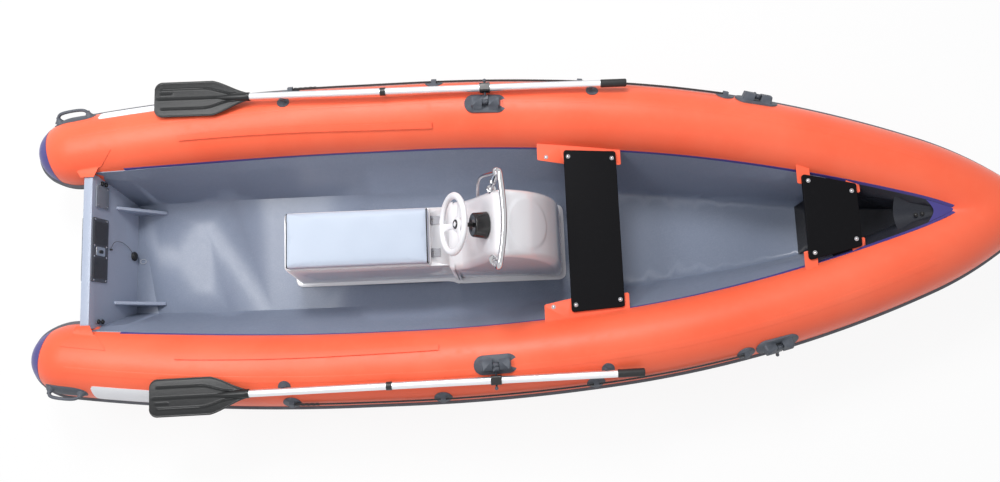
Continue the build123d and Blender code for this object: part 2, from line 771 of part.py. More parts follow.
aft_x0, aft_x1, aft_h0, aft_h1, aft_z = aft_thwart
fore_x0, fore_x1, fore_h0, fore_h1, fore_z = fore_thwart
thwart_flaps = [
    *flap(aft_z, (aft_x0 - 135, 500), (aft_x0 - 135, aft_h0 - 44), (aft_x0, aft_h0 - 70),
          (aft_x1 + 25, aft_h1 - 70), (aft_x1 + 25, 460)),
    *flap(fore_z, (fore_x0 - 20, 300), (fore_x0 - 20, fore_h0 - 45), (fore_x0 + 45, fore_h0 - 55), (fore_x0 + 45, 300)),
    *flap(fore_z, (fore_x1 - 45, 240), (fore_x1 - 45, fore_h1 - 35), (fore_x1 + 20, fore_h1 - 45), (fore_x1 + 20, 240)),
]
save(both_sides(Compound(thwart_flaps)), "thwart_flaps")


# ---------------------------------------------------------------- console and seat box
def seat_box(x1, inset, z0, z1):
    """The seat's box from z0 to z1, its walls moved in by inset."""
    with BuildPart() as box:
        for z in (z0, z1):
            up = (z - foot_z) / (seat_top_z - foot_z)
            x0 = seat_x[0] + (seat_x[1] - seat_x[0]) * up + inset
            half = seat_half[0] + (seat_half[1] - seat_half[0]) * up - inset
            with BuildSketch(Plane.XY.offset(z)):
                with Locations(((x0 + x1) / 2, 0)):
                    RectangleRounded(x1 - x0, 2 * half, 24 - inset)
        loft()
    return box.part


def console_form(inset):
    """The console: its side profile as wide as the boat's middle, cut to sides that lean in."""
    with BuildPart() as form:
        with BuildSketch(Plane.XZ) as profile:
            with BuildLine():
                Polyline((1870, foot_z), (1870, 470), (1950, 510), (2100, 835), (2170, 848), (2300, 750),
                         (2360, 645), (2430, 460), (2470, 90), (2470, foot_z), close=True)
            make_face()
            for x, r in ((1950, 30), (2100, 34), (2170, 70), (2300, 80), (2360, 120), (2430, 240)):
                fillet(profile.vertices().sort_by(Axis.X).filter_by_position(Axis.X, x - 1, x + 1), r)
            offset(amount=-inset)
        extrude(amount=300, both=True)
        with BuildSketch(Plane.YZ.offset(1800)):
            with BuildLine():
                half = [(console_half[0] - inset, foot_z), (console_half[1] - inset, console_crest_z + 40)]
                Polyline(*half, *[(-y, z) for y, z in reversed(half)], close=True)
            make_face()
        extrude(amount=800, mode=Mode.INTERSECT)
    return form.part


with BuildPart() as console:
    with BuildSketch(Plane.XY.offset(foot_z)) as foot:
        with BuildLine():
            half = [(flange_x[0], flange_half[0]), (flange_x[1] - 20, flange_half[0]),
                    (flange_x[1] + 20, flange_half[1]), (flange_x[2], flange_half[1])]
            Polyline(*half, *[(x, -y) for x, y in reversed(half)], close=True)
        make_face()
        fillet(foot.vertices().group_by(Axis.X)[0] + foot.vertices().group_by(Axis.X)[-1], 40)
    extrude(amount=flange_t)
    add(console_form(0))
    sides = console.faces().filter_by(lambda f: abs(f.normal_at().Y) > 0.9 and f.area > 50000)
    rims = sides.edges().filter_by(lambda e: e.center().Z > foot_z + flange_t + 5)
    fillet(rims, console_edge_r)
    add(seat_box(1900, 0, foot_z + flange_t, seat_top_z))
    add(seat_box(locker_mouth_x[1] + 12, console_wall, foot_z + locker_floor, seat_top_z - console_wall),
        mode=Mode.SUBTRACT)
    with BuildSketch(Plane.XY.offset(seat_top_z - 2 * console_wall)):
        with Locations((sum(locker_mouth_x) / 2, 0)):
            RectangleRounded(locker_mouth_x[1] - locker_mouth_x[0], 2 * locker_mouth_half, 20)
    extrude(amount=20, mode=Mode.SUBTRACT)
save(console.part, "console")

# ---------------------------------------------------------------- seat lid on its hinges
hinge_pin_z = seat_top_z + hinge_r
lid_low = seat_top_z + seat_gap


def hinge_plane(y):
    return Plane(origin=(hinge_pin_x, y, hinge_pin_z), x_dir=(1, 0, 0), z_dir=(0, -1, 0))


with BuildPart() as lid_board:
    with BuildSketch(Plane.XY.offset(lid_low)):
        with Locations((sum(lid_x) / 2, 0)):
            RectangleRounded(lid_x[1] - lid_x[0], 2 * lid_half, 20)
    extrude(amount=lid_t)
    fillet(lid_board.faces().sort_by(Axis.Z)[-1].edges(), 3)
    with BuildSketch(Plane.XY.offset(lid_low)):
        with Locations((lid_x[1] - hinge_leaf_l / 2, hinge_y), (lid_x[1] - hinge_leaf_l / 2, -hinge_y)):
            Rectangle(hinge_leaf_l, hinge_w)
    extrude(amount=hinge_leaf_t, mode=Mode.SUBTRACT)
    with BuildSketch(Plane.XZ):
        with Locations((hinge_pin_x, hinge_pin_z)):
            Circle(hinge_r + 1)
    extrude(amount=hinge_y + hinge_w / 2, both=True, mode=Mode.SUBTRACT)
save(lid_board.part, "lid_board")

with BuildPart() as seat_cushion:
    with BuildSketch(Plane.XY.offset(lid_low + lid_t)):
        with Locations((sum(lid_x) / 2, 0)):
            RectangleRounded(lid_x[1] - lid_x[0], 2 * lid_half, 20)
    extrude(amount=cushion_t)
    fillet(seat_cushion.faces().sort_by(Axis.Z)[-1].edges(), 12)
save(seat_cushion.part, "seat_cushion")

# Each hinge has three knuckles: the outer two on the console, the middle one with the pin on the lid.
knuckle_w = hinge_w / 3
with BuildPart() as hinge_leaf:
    with BuildSketch(Plane.XY.offset(lid_low)):
        with Locations((lid_x[1] - hinge_leaf_l / 2, hinge_y)):
            Rectangle(hinge_leaf_l, hinge_w)
    extrude(amount=hinge_leaf_t)
    with BuildSketch(hinge_plane(hinge_y)):
        Circle(hinge_r - 1)
        with Locations((-hinge_r - 1, seat_gap - hinge_r + hinge_leaf_t / 2)):
            Rectangle(2 * hinge_r + 2, hinge_leaf_t)
    extrude(amount=knuckle_w / 2 - seat_gap, both=True)
    with BuildSketch(hinge_plane(hinge_y)):
        Circle(hinge_pin_r)
    extrude(amount=hinge_w / 2, both=True)
save(both_sides(hinge_leaf.part), "lid_hinge_leaves")

with BuildPart() as hinge_base:
    with BuildSketch(hinge_plane(hinge_y)):
        Circle(hinge_r - 1)
        with Locations((hinge_leaf_l / 2, 1 - hinge_r + hinge_leaf_t / 2 - 1)):
            Rectangle(hinge_leaf_l + 2, hinge_leaf_t)
        Circle(hinge_pin_r + pin_gap, mode=Mode.SUBTRACT)
    extrude(amount=hinge_w / 2, both=True)
    with BuildSketch(hinge_plane(hinge_y)):
        Rectangle(4 * hinge_r, 2 * hinge_r + 2)
    extrude(amount=knuckle_w / 2, both=True, mode=Mode.SUBTRACT)
    split(bisect_by=Plane.XY.offset(seat_top_z), keep=Keep.TOP)
save(both_sides(hinge_base.part), "lid_hinge_bases")

# ---------------------------------------------------------------- steering wheel
tilt = radians(wheel_tilt)
wheel_c = Vector(wheel_x, 0, wheel_z)
wheel_up = Vector(sin(tilt), 0, cos(tilt))
wheel_axis = Vector(-cos(tilt), 0, sin(tilt))


def wheel_plane(depth):
    """Across the steering shaft, depth below the middle of the wheel: z points to the driver."""
    return Plane(origin=wheel_c - wheel_axis * depth, x_dir=(0, 1, 0), z_dir=wheel_axis)


hub_depth = 22
with BuildPart() as steering_wheel:
    with BuildSketch(Plane(origin=wheel_c, x_dir=wheel_up, z_dir=(0, -1, 0))):
        with Locations((wheel_r - wheel_rim_r, 0)):
            Circle(wheel_rim_r)
    revolve(axis=Axis(wheel_c, wheel_axis))
    for turn in (90, 210, 330):
        out = Vector(0, 1, 0) * cos(radians(turn)) - wheel_up * sin(radians(turn))
        start = wheel_c - wheel_axis * hub_depth + out * (hub_r - 8)
        end = wheel_c - wheel_axis * 2 + out * (wheel_r - wheel_rim_r - 4)
        with BuildSketch(Plane(origin=start, x_dir=out.cross(wheel_axis), z_dir=end - start)):
            RectangleRounded(30, 8, 3)
        extrude(amount=(end - start).length)
    with BuildSketch(wheel_plane(hub_depth + 10)):
        Circle(hub_r)
    extrude(amount=20)
    fillet(steering_wheel.faces().filter_by(Plane(origin=wheel_c, z_dir=wheel_axis)).edges(), 3)
save(steering_wheel.part, "steering_wheel")

with BuildPart() as wheel_cap:
    with BuildSketch(wheel_plane(hub_depth - 10)):
        Circle(hub_r - 6)
    extrude(amount=9, taper=12)
    fillet(wheel_cap.edges().sort_by(Axis.Z)[-1], 3)
save(wheel_cap.part, "wheel_cap")

with BuildPart() as steering_shaft:
    with BuildSketch(wheel_plane(hub_depth + 10)):
        Circle(steering_shaft_r)
    extrude(amount=-(helm_depth - 14 - hub_depth - 10))
save(steering_shaft.part, "steering_shaft")

with BuildPart() as helm_bezel:
    for depth, grow in ((helm_depth + 12, 1.12), (helm_depth - bezel_l, 0.94)):
        with BuildSketch(wheel_plane(depth)):
            Ellipse(bezel_w / 2 * grow, bezel_h / 2 * grow)
    loft()
    fillet(helm_bezel.faces().sort_by(Axis(wheel_c, wheel_axis))[-1].edges(), 8)
    with BuildSketch(wheel_plane(helm_depth - 12)):
        Circle(steering_shaft_r + pin_gap)
    extrude(amount=bezel_l, mode=Mode.SUBTRACT)
    add(console.part, mode=Mode.SUBTRACT)
save(helm_bezel.part, "helm_bezel")

# ---------------------------------------------------------------- console rail
rail_foot = [(2100, 164, 770), (2100, -164, 770)]
rail_corner = [(2138, 226, 962), (2120, -226, 962)]
rail_neck = [Vector(*foot) + (Vector(*corner) - Vector(*foot)) * 0.45
             for foot, corner in zip(rail_foot, rail_corner)]

with BuildPart() as console_rail:
    with BuildLine() as hoop:
        FilletPolyline(rail_neck[0], rail_corner[0], (2158, 0, 962), rail_corner[1], rail_neck[1], radius=44)
    with BuildSketch(Plane(origin=hoop.line @ 0, z_dir=hoop.line % 0)):
        Circle(rail_r)
    sweep()
    for foot, neck in zip(rail_foot, rail_neck):
        start = Vector(*foot)
        with BuildSketch(Plane(origin=start, z_dir=neck - start)):
            Circle(rail_post_r)
        extrude(amount=(neck - start).length + 5)
        with BuildSketch(Plane(origin=start + (neck - start) * 0.1, z_dir=neck - start)):
            Circle(rail_post_r + 14)
        extrude(amount=8)
    add(console.part, mode=Mode.SUBTRACT)
save(Part([console_rail.part.solids().sort_by(SortBy.VOLUME)[-1]]), "console_rail")

with BuildPart() as rail_leg:
    with BuildLine() as leg:
        FilletPolyline((2128, 214, 940), (2040, 236, 740), (2028, 168, 550), radius=70)
    with BuildSketch(Plane(origin=leg.line @ 0, z_dir=leg.line % 0)):
        Circle(rail_leg_r)
    sweep()
    with BuildSketch(Plane.XY.offset(924)):
        with Locations((2130, 214)):
            Circle(20)
    extrude(amount=40)
    with BuildSketch(Plane(origin=(2028, 168, 550), z_dir=(0, 1, 0))):
        Circle(22)
    extrude(amount=14)
    add(console_rail.part, mode=Mode.SUBTRACT)
    add(console.part, mode=Mode.SUBTRACT)
save(Part([rail_leg.part.solids().sort_by(SortBy.VOLUME)[-1]]), "rail_leg")

# ---------------------------------------------------------------- transom fittings
pad_z = transom_top_z - 4 - pad_h / 2
with BuildPart() as motor_pads:
    with BuildSketch(transom_face(9, pad_z)):
        RectangleRounded(pad_w, pad_h, 10)
    extrude(amount=pad_t)
    with BuildSketch(transom_face(9, pad_z).offset(-transom_t)):
        RectangleRounded(pad_w, pad_h, 10)
    extrude(amount=-pad_t)
save(motor_pads.part, "motor_pads")

with BuildPart() as sensor_plate:
    with BuildSketch(transom_face(plate_y, 408)):
        Rectangle(plate_w, 106)
    extrude(amount=8)
    add(liner_body, mode=Mode.SUBTRACT)
save(sensor_plate.part, "transom_plate")

with BuildPart() as drain:
    with BuildSketch(transom_face(drain_y, drain_z)):
        Circle(bung_r + 5)
    extrude(amount=4)
save(drain.part, "drain_socket")
with BuildPart() as bung:
    with BuildSketch(transom_face(drain_y, drain_z).offset(4)):
        Circle(bung_r)
    extrude(amount=12)
    fillet(bung.faces().sort_by(Axis.X)[-1].edges(), 3)
save(bung.part, "drain_bung")


def eye_bolt(y):
    """A U-bolt through the transom with its nuts inside."""
    low, high = [transom_face(y, z) for z in eye_nut_z]
    out = low.z_dir
    with BuildPart() as bolt:
        with BuildLine() as bow:
            FilletPolyline(low.origin - out * transom_t, low.origin - out * (transom_t + 40),
                           high.origin - out * (transom_t + 40), high.origin - out * transom_t, radius=16)
        with BuildSketch(Plane(origin=bow.line @ 0, z_dir=bow.line % 0)):
            Circle(eye_bolt_r)
        sweep()
        with BuildSketch(transom_face(y, sum(eye_nut_z) / 2).offset(-transom_t)):
            SlotOverall(70, 16, rotation=90)
        extrude(amount=-4)
        with BuildSketch(low, high):
            RegularPolygon(8, 6)
        extrude(amount=9)
    return bolt.part.solids()


save(Compound([*eye_bolt(eye_bolt_y), *eye_bolt(-eye_bolt_y)]), "transom_eye_bolts")

bow_eye_plane = Plane(origin=(4330, 0, 132), x_dir=(0, 1, 0), z_dir=(0.51, 0, -0.86))
with BuildPart() as bow_eye:
    with BuildSketch(bow_eye_plane.offset(-6)):
        SlotOverall(90, 30, rotation=90)
    extrude(amount=14)
    with BuildLine(bow_eye_plane) as bow:
        FilletPolyline((0, -28, 2), (0, -28, 44), (0, 28, 44), (0, 28, 2), radius=22)
    with BuildSketch(Plane(origin=bow.line @ 0, z_dir=bow.line % 0)):
        Circle(6)
    sweep()
    add(hull_body, mode=Mode.SUBTRACT)
save(bow_eye.part, "bow_eye")



# ---------------------------------------------------------------- cord that keeps the bung
def cord_route(points):
    """Straight runs through the points, joined by arcs as large as the runs allow."""
    at = points[0]
    for before, corner, after in zip(points, points[1:], points[2:]):
        run_in, run_out = corner - before, after - corner
        reach = 0.45 * min(run_in.length, run_out.length)
        half_turn = radians(run_in.get_angle(run_out) / 2)
        r = reach / tan(half_turn)
        start, end = corner - run_in.normalized() * reach, corner + run_out.normalized() * reach
        middle = corner + (start + end - corner * 2).normalized() * r * (1 / cos(half_turn) - 1)
        Line(at, start)
        ThreePointArc(start, middle, end)
        print(f"cord bend {r:.0f} mm, turn {2 * degrees(half_turn):.0f} degrees")
        at = end
    Line(at, points[-1])


cord_eye = transom_face(lanyard_eye_y, lanyard_eye_z)
with BuildPart() as lanyard_eye:
    with BuildSketch(cord_eye):
        Circle(lanyard_eye_r)
    extrude(amount=11)
save(lanyard_eye.part, "lanyard_eye")

cord_end = Vector(0, cos(radians(60)), sin(radians(60)))
lanyard_stops = [(lanyard_eye_y + lanyard_eye_r, lanyard_eye_z, 6), (52, 312, 6), (70, 288, 7), (76, 256, 7),
                 (74, 222, 7), (64, 190, 8), (50, 162, 9),
                 (drain_y + cord_end.Y * (bung_r + 24), drain_z + cord_end.Z * (bung_r + 24), 10),
                 (drain_y + cord_end.Y * bung_r, drain_z + cord_end.Z * bung_r, 10)]
with BuildPart() as lanyard:
    with BuildLine() as lanyard_line:
        cord_route([transom_face(y, z).offset(off).origin for y, z, off in lanyard_stops])
    with BuildSketch(Plane(origin=lanyard_line.line @ 0, z_dir=lanyard_line.line % 0)):
        Circle(lanyard_r)
    sweep()
print(f"cord length {sum(run.length for run in lanyard_line.line.edges()):.0f} mm")
save(lanyard.part, "drain_lanyard")
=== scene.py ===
from math import sin, cos, tan, asin, atan2, hypot, radians, degrees, sqrt, pi
import bpy
import bmesh
from mathutils import Matrix, Vector
from mathutils.bvhtree import BVHTree


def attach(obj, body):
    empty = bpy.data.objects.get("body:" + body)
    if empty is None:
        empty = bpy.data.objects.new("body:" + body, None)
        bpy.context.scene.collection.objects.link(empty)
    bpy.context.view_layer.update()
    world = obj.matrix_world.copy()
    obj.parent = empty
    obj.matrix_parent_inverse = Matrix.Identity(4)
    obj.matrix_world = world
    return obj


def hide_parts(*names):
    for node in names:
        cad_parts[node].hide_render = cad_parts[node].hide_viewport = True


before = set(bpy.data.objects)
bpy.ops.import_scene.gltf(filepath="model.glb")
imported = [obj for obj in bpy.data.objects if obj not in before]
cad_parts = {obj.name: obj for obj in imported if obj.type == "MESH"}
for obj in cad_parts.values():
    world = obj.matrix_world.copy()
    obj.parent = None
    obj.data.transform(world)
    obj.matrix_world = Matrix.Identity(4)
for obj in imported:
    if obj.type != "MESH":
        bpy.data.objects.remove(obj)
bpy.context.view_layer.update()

hull = "hull"
sides = {"port": 1, "starboard": -1}

# where the picture is taken from, as three unit directions of the camera
look = {"place": (2.1479, -0.5886, 4.5013), "right": (0.9991046, -0.0411286, -0.0099219),
        "down": (-0.0420928, -0.9899414, -0.1350715), "ahead": (-0.0042668, 0.1353682, -0.9907862),
        "lens": 28.748}


def addCamera():
    lens = bpy.data.cameras.new("camera")
    lens.lens, lens.sensor_width = look["lens"], 36
    camera = bpy.data.objects.new("camera", lens)
    bpy.context.collection.objects.link(camera)
    right, down, ahead = (Vector(look[k]) for k in ("right", "down", "ahead"))
    turned = Matrix((right, -down, -ahead)).transposed().to_4x4()
    camera.matrix_world = Matrix.Translation(look["place"]) @ turned
    bpy.context.scene.camera = camera


addCamera()


class Wire:  # an output socket that can be summed, scaled and compared
    def __init__(self, web, socket):
        self.web, self.socket = web, socket

    def maths(self, operation, *values):
        sockets = dict(enumerate(values))
        return self.web.node("ShaderNodeMath", {"operation": operation}, sockets)

    def __add__(self, other):
        return self.maths("ADD", self, other)

    def __radd__(self, other):
        return self.maths("ADD", other, self)

    def __sub__(self, other):
        return self.maths("SUBTRACT", self, other)

    def __rsub__(self, other):
        return self.maths("SUBTRACT", other, self)

    def __mul__(self, other):
        return self.maths("MULTIPLY", self, other)

    def __rmul__(self, other):
        return self.maths("MULTIPLY", other, self)

    def __truediv__(self, other):
        return self.maths("DIVIDE", self, other)

    def __gt__(self, other):
        return self.maths("GREATER_THAN", self, other)

    def __lt__(self, other):
        return self.maths("LESS_THAN", self, other)

    def __pow__(self, other):
        return self.maths("POWER", self, other)

    def wave(self):
        return self.maths("SINE", self)


class Web:  # nodes of one tree
    def __init__(self, tree):
        self.tree = tree

    def node(self, kind, settings=None, sockets=None, output=0):
        made = self.tree.nodes.new(kind)
        for name, value in (settings or {}).items():
            if name == "stops":
                ramp = made.color_ramp
                while len(ramp.elements) < len(value):
                    ramp.elements.new(0.5)
                for stop, (place, colour) in zip(ramp.elements, value):
                    stop.position, stop.color = place, colour
            else:
                setattr(made, name, value)
        for name, value in (sockets or {}).items():
            into = made.inputs[name]
            if isinstance(value, Wire):
                self.tree.links.new(value.socket, into)
            elif isinstance(value, bpy.types.NodeSocket):
                self.tree.links.new(value, into)
            else:
                into.default_value = value
        return Wire(self, made.outputs[output]) if made.outputs else made

    def vector(self, operation, *values, output=0):
        return self.node("ShaderNodeVectorMath", {"operation": operation}, dict(enumerate(values)), output)


def rgb(*colour):
    return (*colour, 1.0)


class Paint(Web):  # one material
    def __init__(self, name):
        self.material = bpy.data.materials.new(name)
        self.material.use_nodes = True
        super().__init__(self.material.node_tree)
        self.tree.nodes.clear()
        self.place = self.node("ShaderNodeTexCoord", output="Object")

    def noise(self, scale, detail=3.0, rough=0.5, place=None):
        return self.node("ShaderNodeTexNoise", None, {"Vector": place or self.place, "Scale": scale,
                                                      "Detail": detail, "Roughness": rough})

    def ramp(self, value, low, high):
        return self.node("ShaderNodeMapRange", None, {"Value": value, "From Min": low, "From Max": high})

    def mix(self, factor, first, second):
        return self.node("ShaderNodeMix", {"data_type": "RGBA"}, {"Factor": factor, 6: first, 7: second},
                         output=2)

    def bump(self, height, distance, strength=1.0, under=None):
        sockets = {"Height": height, "Distance": distance, "Strength": strength}
        if under:
            sockets["Normal"] = under
        return self.node("ShaderNodeBump", None, sockets)

    def cells(self, scale, feature="F1", place=None):
        return self.node("ShaderNodeTexVoronoi", {"feature": feature}, {"Vector": place or self.place,
                                                                       "Scale": scale})

    def done(self, **sockets):
        named = {"base": "Base Color", "rough": "Roughness", "metal": "Metallic", "normal": "Normal",
                 "coat": "Coat Weight", "coatRough": "Coat Roughness", "sheen": "Sheen Weight",
                 "level": "Specular IOR Level", "sheenRough": "Sheen Roughness", "alpha": "Alpha"}
        shader = self.node("ShaderNodeBsdfPrincipled", None, {named[k]: v for k, v in sockets.items()})
        self.node("ShaderNodeOutputMaterial", None, {"Surface": shader})
        return self.material


# coated cloth: soft mottling, a fine weave, scuffs that catch the light
def coatedCloth(name, colour, worn, weave=1400.0, rough=0.42):
    paint = Paint(name)
    broad = paint.ramp(paint.noise(2.2, 4.0), 0.35, 0.68)
    handled = paint.ramp(paint.noise(24.0, 5.0, 0.6), 0.52, 0.75)
    tone = paint.mix(broad * 0.35, rgb(*colour), rgb(*worn))
    tone = paint.mix(handled * 0.10, tone, rgb(*worn))
    split = paint.node("ShaderNodeSeparateXYZ", None, {0: paint.place})
    along = Wire(paint, split.socket.node.outputs[0])
    across = Wire(paint, split.socket.node.outputs[1])
    threads = (along * weave).wave() * (across * weave).wave()
    ripple = paint.noise(7.0, 2.0)
    normal = paint.bump(threads, 0.0002, 0.25)
    normal = paint.bump(ripple, 0.004, 0.25, normal)
    return paint.done(base=tone, rough=rough + 0.14 * handled, normal=normal, sheen=0.15, sheenRough=0.4,
                      level=0.45)


# gelcoat with flecks in it and fine scratches over it
def fleckedGelcoat(name, colour, fleck, dark, rough=0.3, level=0.5):
    paint = Paint(name)
    cloud = paint.ramp(paint.noise(1.6, 5.0, 0.6), 0.3, 0.72)
    pale = paint.ramp(paint.noise(520.0, 2.0), 0.56, 0.66)
    deep = paint.ramp(paint.noise(640.0, 2.0, 0.5, paint.vector("ADD", paint.place, (4.0, 7.0, 1.0))), 0.58,
                      0.68)
    tone = paint.mix(cloud * 0.25, rgb(*colour), rgb(*dark))
    tone = paint.mix(pale * 0.55, tone, rgb(*fleck))
    tone = paint.mix(deep * 0.35, tone, rgb(*dark))
    scuffed = paint.ramp(paint.noise(60.0, 6.0, 0.65), 0.5, 0.8)
    normal = paint.bump(paint.noise(300.0, 2.0), 0.0006, 0.5)
    return paint.done(base=tone, rough=rough + scuffed * 0.18, normal=normal, level=level)


def plainGelcoat(name, colour, warm):
    paint = Paint(name)
    cloud = paint.ramp(paint.noise(3.0, 4.0), 0.3, 0.7)
    dusty = paint.ramp(paint.noise(45.0, 6.0, 0.65), 0.55, 0.8)
    tone = paint.mix(cloud * 0.5, rgb(*colour), rgb(*warm))
    normal = paint.bump(paint.noise(9.0, 2.0), 0.0012, 0.35)
    return paint.done(base=tone, rough=0.16 + 0.16 * dusty, normal=normal, coat=0.35, coatRough=0.08,
                      level=0.5)


def rubber(name, colour, worn, rough=0.55, grain=900.0):
    paint = Paint(name)
    chalk = paint.ramp(paint.noise(30.0, 5.0, 0.6), 0.48, 0.8)
    tone = paint.mix(chalk * 0.5, rgb(*colour), rgb(*worn))
    normal = paint.bump(paint.noise(grain, 2.0), 0.0004, 0.5)
    return paint.done(base=tone, rough=rough + 0.12 * chalk, normal=normal, level=0.4)


# darker streaks in the colour: brushing grain on steel and aluminium, painted reflection on the smooth chrome
def metal(name, colour, rough, brushed=0.0, scale=(4.0, 900.0, 900.0)):
    paint = Paint(name)
    grainAndReflectionStreaks = paint.noise(1.0, 4.0, 0.6, paint.vector("MULTIPLY", paint.place, scale))
    smear = paint.ramp(paint.noise(16.0, 4.0), 0.45, 0.8)
    tone = paint.mix(paint.ramp(grainAndReflectionStreaks, 0.3, 0.7) * 0.3, rgb(*colour), rgb(*(c * 0.8 for c in colour)))
    return paint.done(base=tone, rough=rough + 0.12 * smear + brushed * grainAndReflectionStreaks, metal=1.0,
                      normal=paint.bump(grainAndReflectionStreaks, 0.0002, 0.3 if brushed else 0.05))


def moulded(name, colour, worn, rough=0.4, grain=600.0, level=0.5):
    paint = Paint(name)
    rub = paint.ramp(paint.noise(40.0, 5.0, 0.65), 0.55, 0.85)
    tone = paint.mix(rub * 0.4, rgb(*colour), rgb(*worn))
    normal = paint.bump(paint.cells(grain), 0.0003, 0.35)
    return paint.done(base=tone, rough=rough + 0.15 * rub, normal=normal, level=level)


def vinyl(name, colour, shade):
    paint = Paint(name)
    soft = paint.ramp(paint.noise(3.5, 4.0), 0.3, 0.7)
    grain = paint.cells(700.0, "DISTANCE_TO_EDGE")
    creases = paint.noise(18.0, 4.0, 0.6)
    tone = paint.mix(soft * 0.4, rgb(*colour), rgb(*shade))
    normal = paint.bump(creases, 0.002, 0.25, paint.bump(grain, 0.0004, 0.45))
    return paint.done(base=tone, rough=0.38 + 0.1 * soft, normal=normal, level=0.45, sheen=0.05)


def ropeFibre(name, colour, glint):
    paint = Paint(name)
    fibres = paint.noise(1.0, 4.0, 0.7, paint.vector("MULTIPLY", paint.place, (2600.0, 2600.0, 700.0)))
    tone = paint.mix(paint.ramp(fibres, 0.4, 0.75) * 0.5, rgb(*colour), rgb(*glint))
    return paint.done(base=tone, rough=0.6 + 0.2 * fibres, normal=paint.bump(fibres, 0.0004, 0.6), sheen=0.3,
                      sheenRough=0.5)


paints = {
    "tube": coatedCloth("coralCloth", (0.95, 0.125, 0.048), (0.98, 0.22, 0.115)),
    "patch": coatedCloth("coralPatch", (0.98, 0.125, 0.05), (0.98, 0.2, 0.1), rough=0.5),
    "navy": coatedCloth("navyCloth", (0.045, 0.036, 0.21), (0.075, 0.062, 0.27)),
    "deck": fleckedGelcoat("deckGelcoat", (0.20, 0.235, 0.315), (0.42, 0.46, 0.56), (0.125, 0.15, 0.20)),
    # painted shade: near-black gelcoat for the bow well and the tubes' sides in it, standing in for the shade under
    # the forward thwart and the tubes
    "shadedWell": fleckedGelcoat("wellGelcoat", (0.020, 0.022, 0.030), (0.05, 0.055, 0.07), (0.008, 0.009, 0.013),
                           0.35, 0.2),
    # painted light: the grey gelcoat made lighter for the transom and its knees, for the light falling on their top
    # edges
    "transom": fleckedGelcoat("transomGelcoat", (0.40, 0.45, 0.56), (0.6, 0.65, 0.74), (0.27, 0.31, 0.40)),
    "hull": fleckedGelcoat("hullGelcoat", (0.42, 0.46, 0.53), (0.52, 0.56, 0.62), (0.34, 0.37, 0.43), 0.22),
    "console": plainGelcoat("consoleGelcoat", (0.82, 0.82, 0.84), (0.80, 0.77, 0.79)),
    "seat": vinyl("seatVinyl", (0.47, 0.535, 0.64), (0.55, 0.61, 0.71)),
    "greyRubber": rubber("greyRubber", (0.085, 0.095, 0.115), (0.16, 0.17, 0.195)),
    "strake": rubber("strakeRubber", (0.10, 0.105, 0.12), (0.19, 0.195, 0.21)),
    "blackRubber": rubber("blackRubber", (0.012, 0.012, 0.013), (0.04, 0.04, 0.042), 0.5),
    "blackPlastic": moulded("blackPlastic", (0.010, 0.010, 0.011), (0.035, 0.035, 0.038), 0.3),
    "blade": moulded("bladePlastic", (0.010, 0.011, 0.012), (0.03, 0.032, 0.035), 0.3, 800.0, 0.35),
    "blackGloss": moulded("blackGloss", (0.008, 0.008, 0.009), (0.02, 0.02, 0.022), 0.12),
    "board": moulded("blackBoard", (0.004, 0.004, 0.005), (0.012, 0.012, 0.014), 0.5, 350.0, 0.08),
    "fitting": moulded("fittingPlastic", (0.07, 0.078, 0.095), (0.13, 0.14, 0.16), 0.42),
    "plate": moulded("platePlastic", (0.22, 0.24, 0.28), (0.34, 0.36, 0.40), 0.45),
    "wheel": moulded("wheelWhite", (0.84, 0.84, 0.86), (0.76, 0.76, 0.78), 0.3),
    "padDark": rubber("padDark", (0.062, 0.067, 0.078), (0.12, 0.125, 0.14)),
    "blank": moulded("blankPlate", (0.86, 0.86, 0.88), (0.80, 0.80, 0.83), 0.35),
    "steel": metal("brushedSteel", (0.62, 0.63, 0.65), 0.25, 0.1),
    "hinge": metal("hingeSteel", (0.22, 0.22, 0.24), 0.3, 0.1),
    "chrome": metal("railChrome", (0.55, 0.55, 0.57), 0.04),
    "aluminium": metal("oarAluminium", (0.80, 0.81, 0.84), 0.3, 0.12),
    "rope": ropeFibre("blackRope", (0.010, 0.010, 0.011), (0.05, 0.05, 0.055)),
    "cordFibre": ropeFibre("cordFibre", (0.03, 0.03, 0.032), (0.12, 0.12, 0.13)),
    "clear": moulded("palePlastic", (0.6, 0.62, 0.66), (0.75, 0.76, 0.8), 0.3),
}

# the cord that keeps the drain bung: its route on the transom's face as side, height and distance off it
lanyard = {"diameter": 0.0024, "length": 0.238,
           "stops": ((0.029, 0.322, 0.006), (0.052, 0.312, 0.006), (0.070, 0.288, 0.007),
                     (0.076, 0.256, 0.007),
                     (0.074, 0.222, 0.007), (0.064, 0.190, 0.008), (0.050, 0.162, 0.009)),
           "bungAt": (0.012, 0.102), "bungRadius": 0.019}
transom = {"rake": radians(6), "thick": 0.046, "top": 0.488}


def transomPoint(side, height, off):
    rake = transom["rake"]
    x = transom["thick"] / cos(rake) + (transom["top"] - height) * tan(rake)
    return Vector((x + off * cos(rake), side, height + off * sin(rake)))


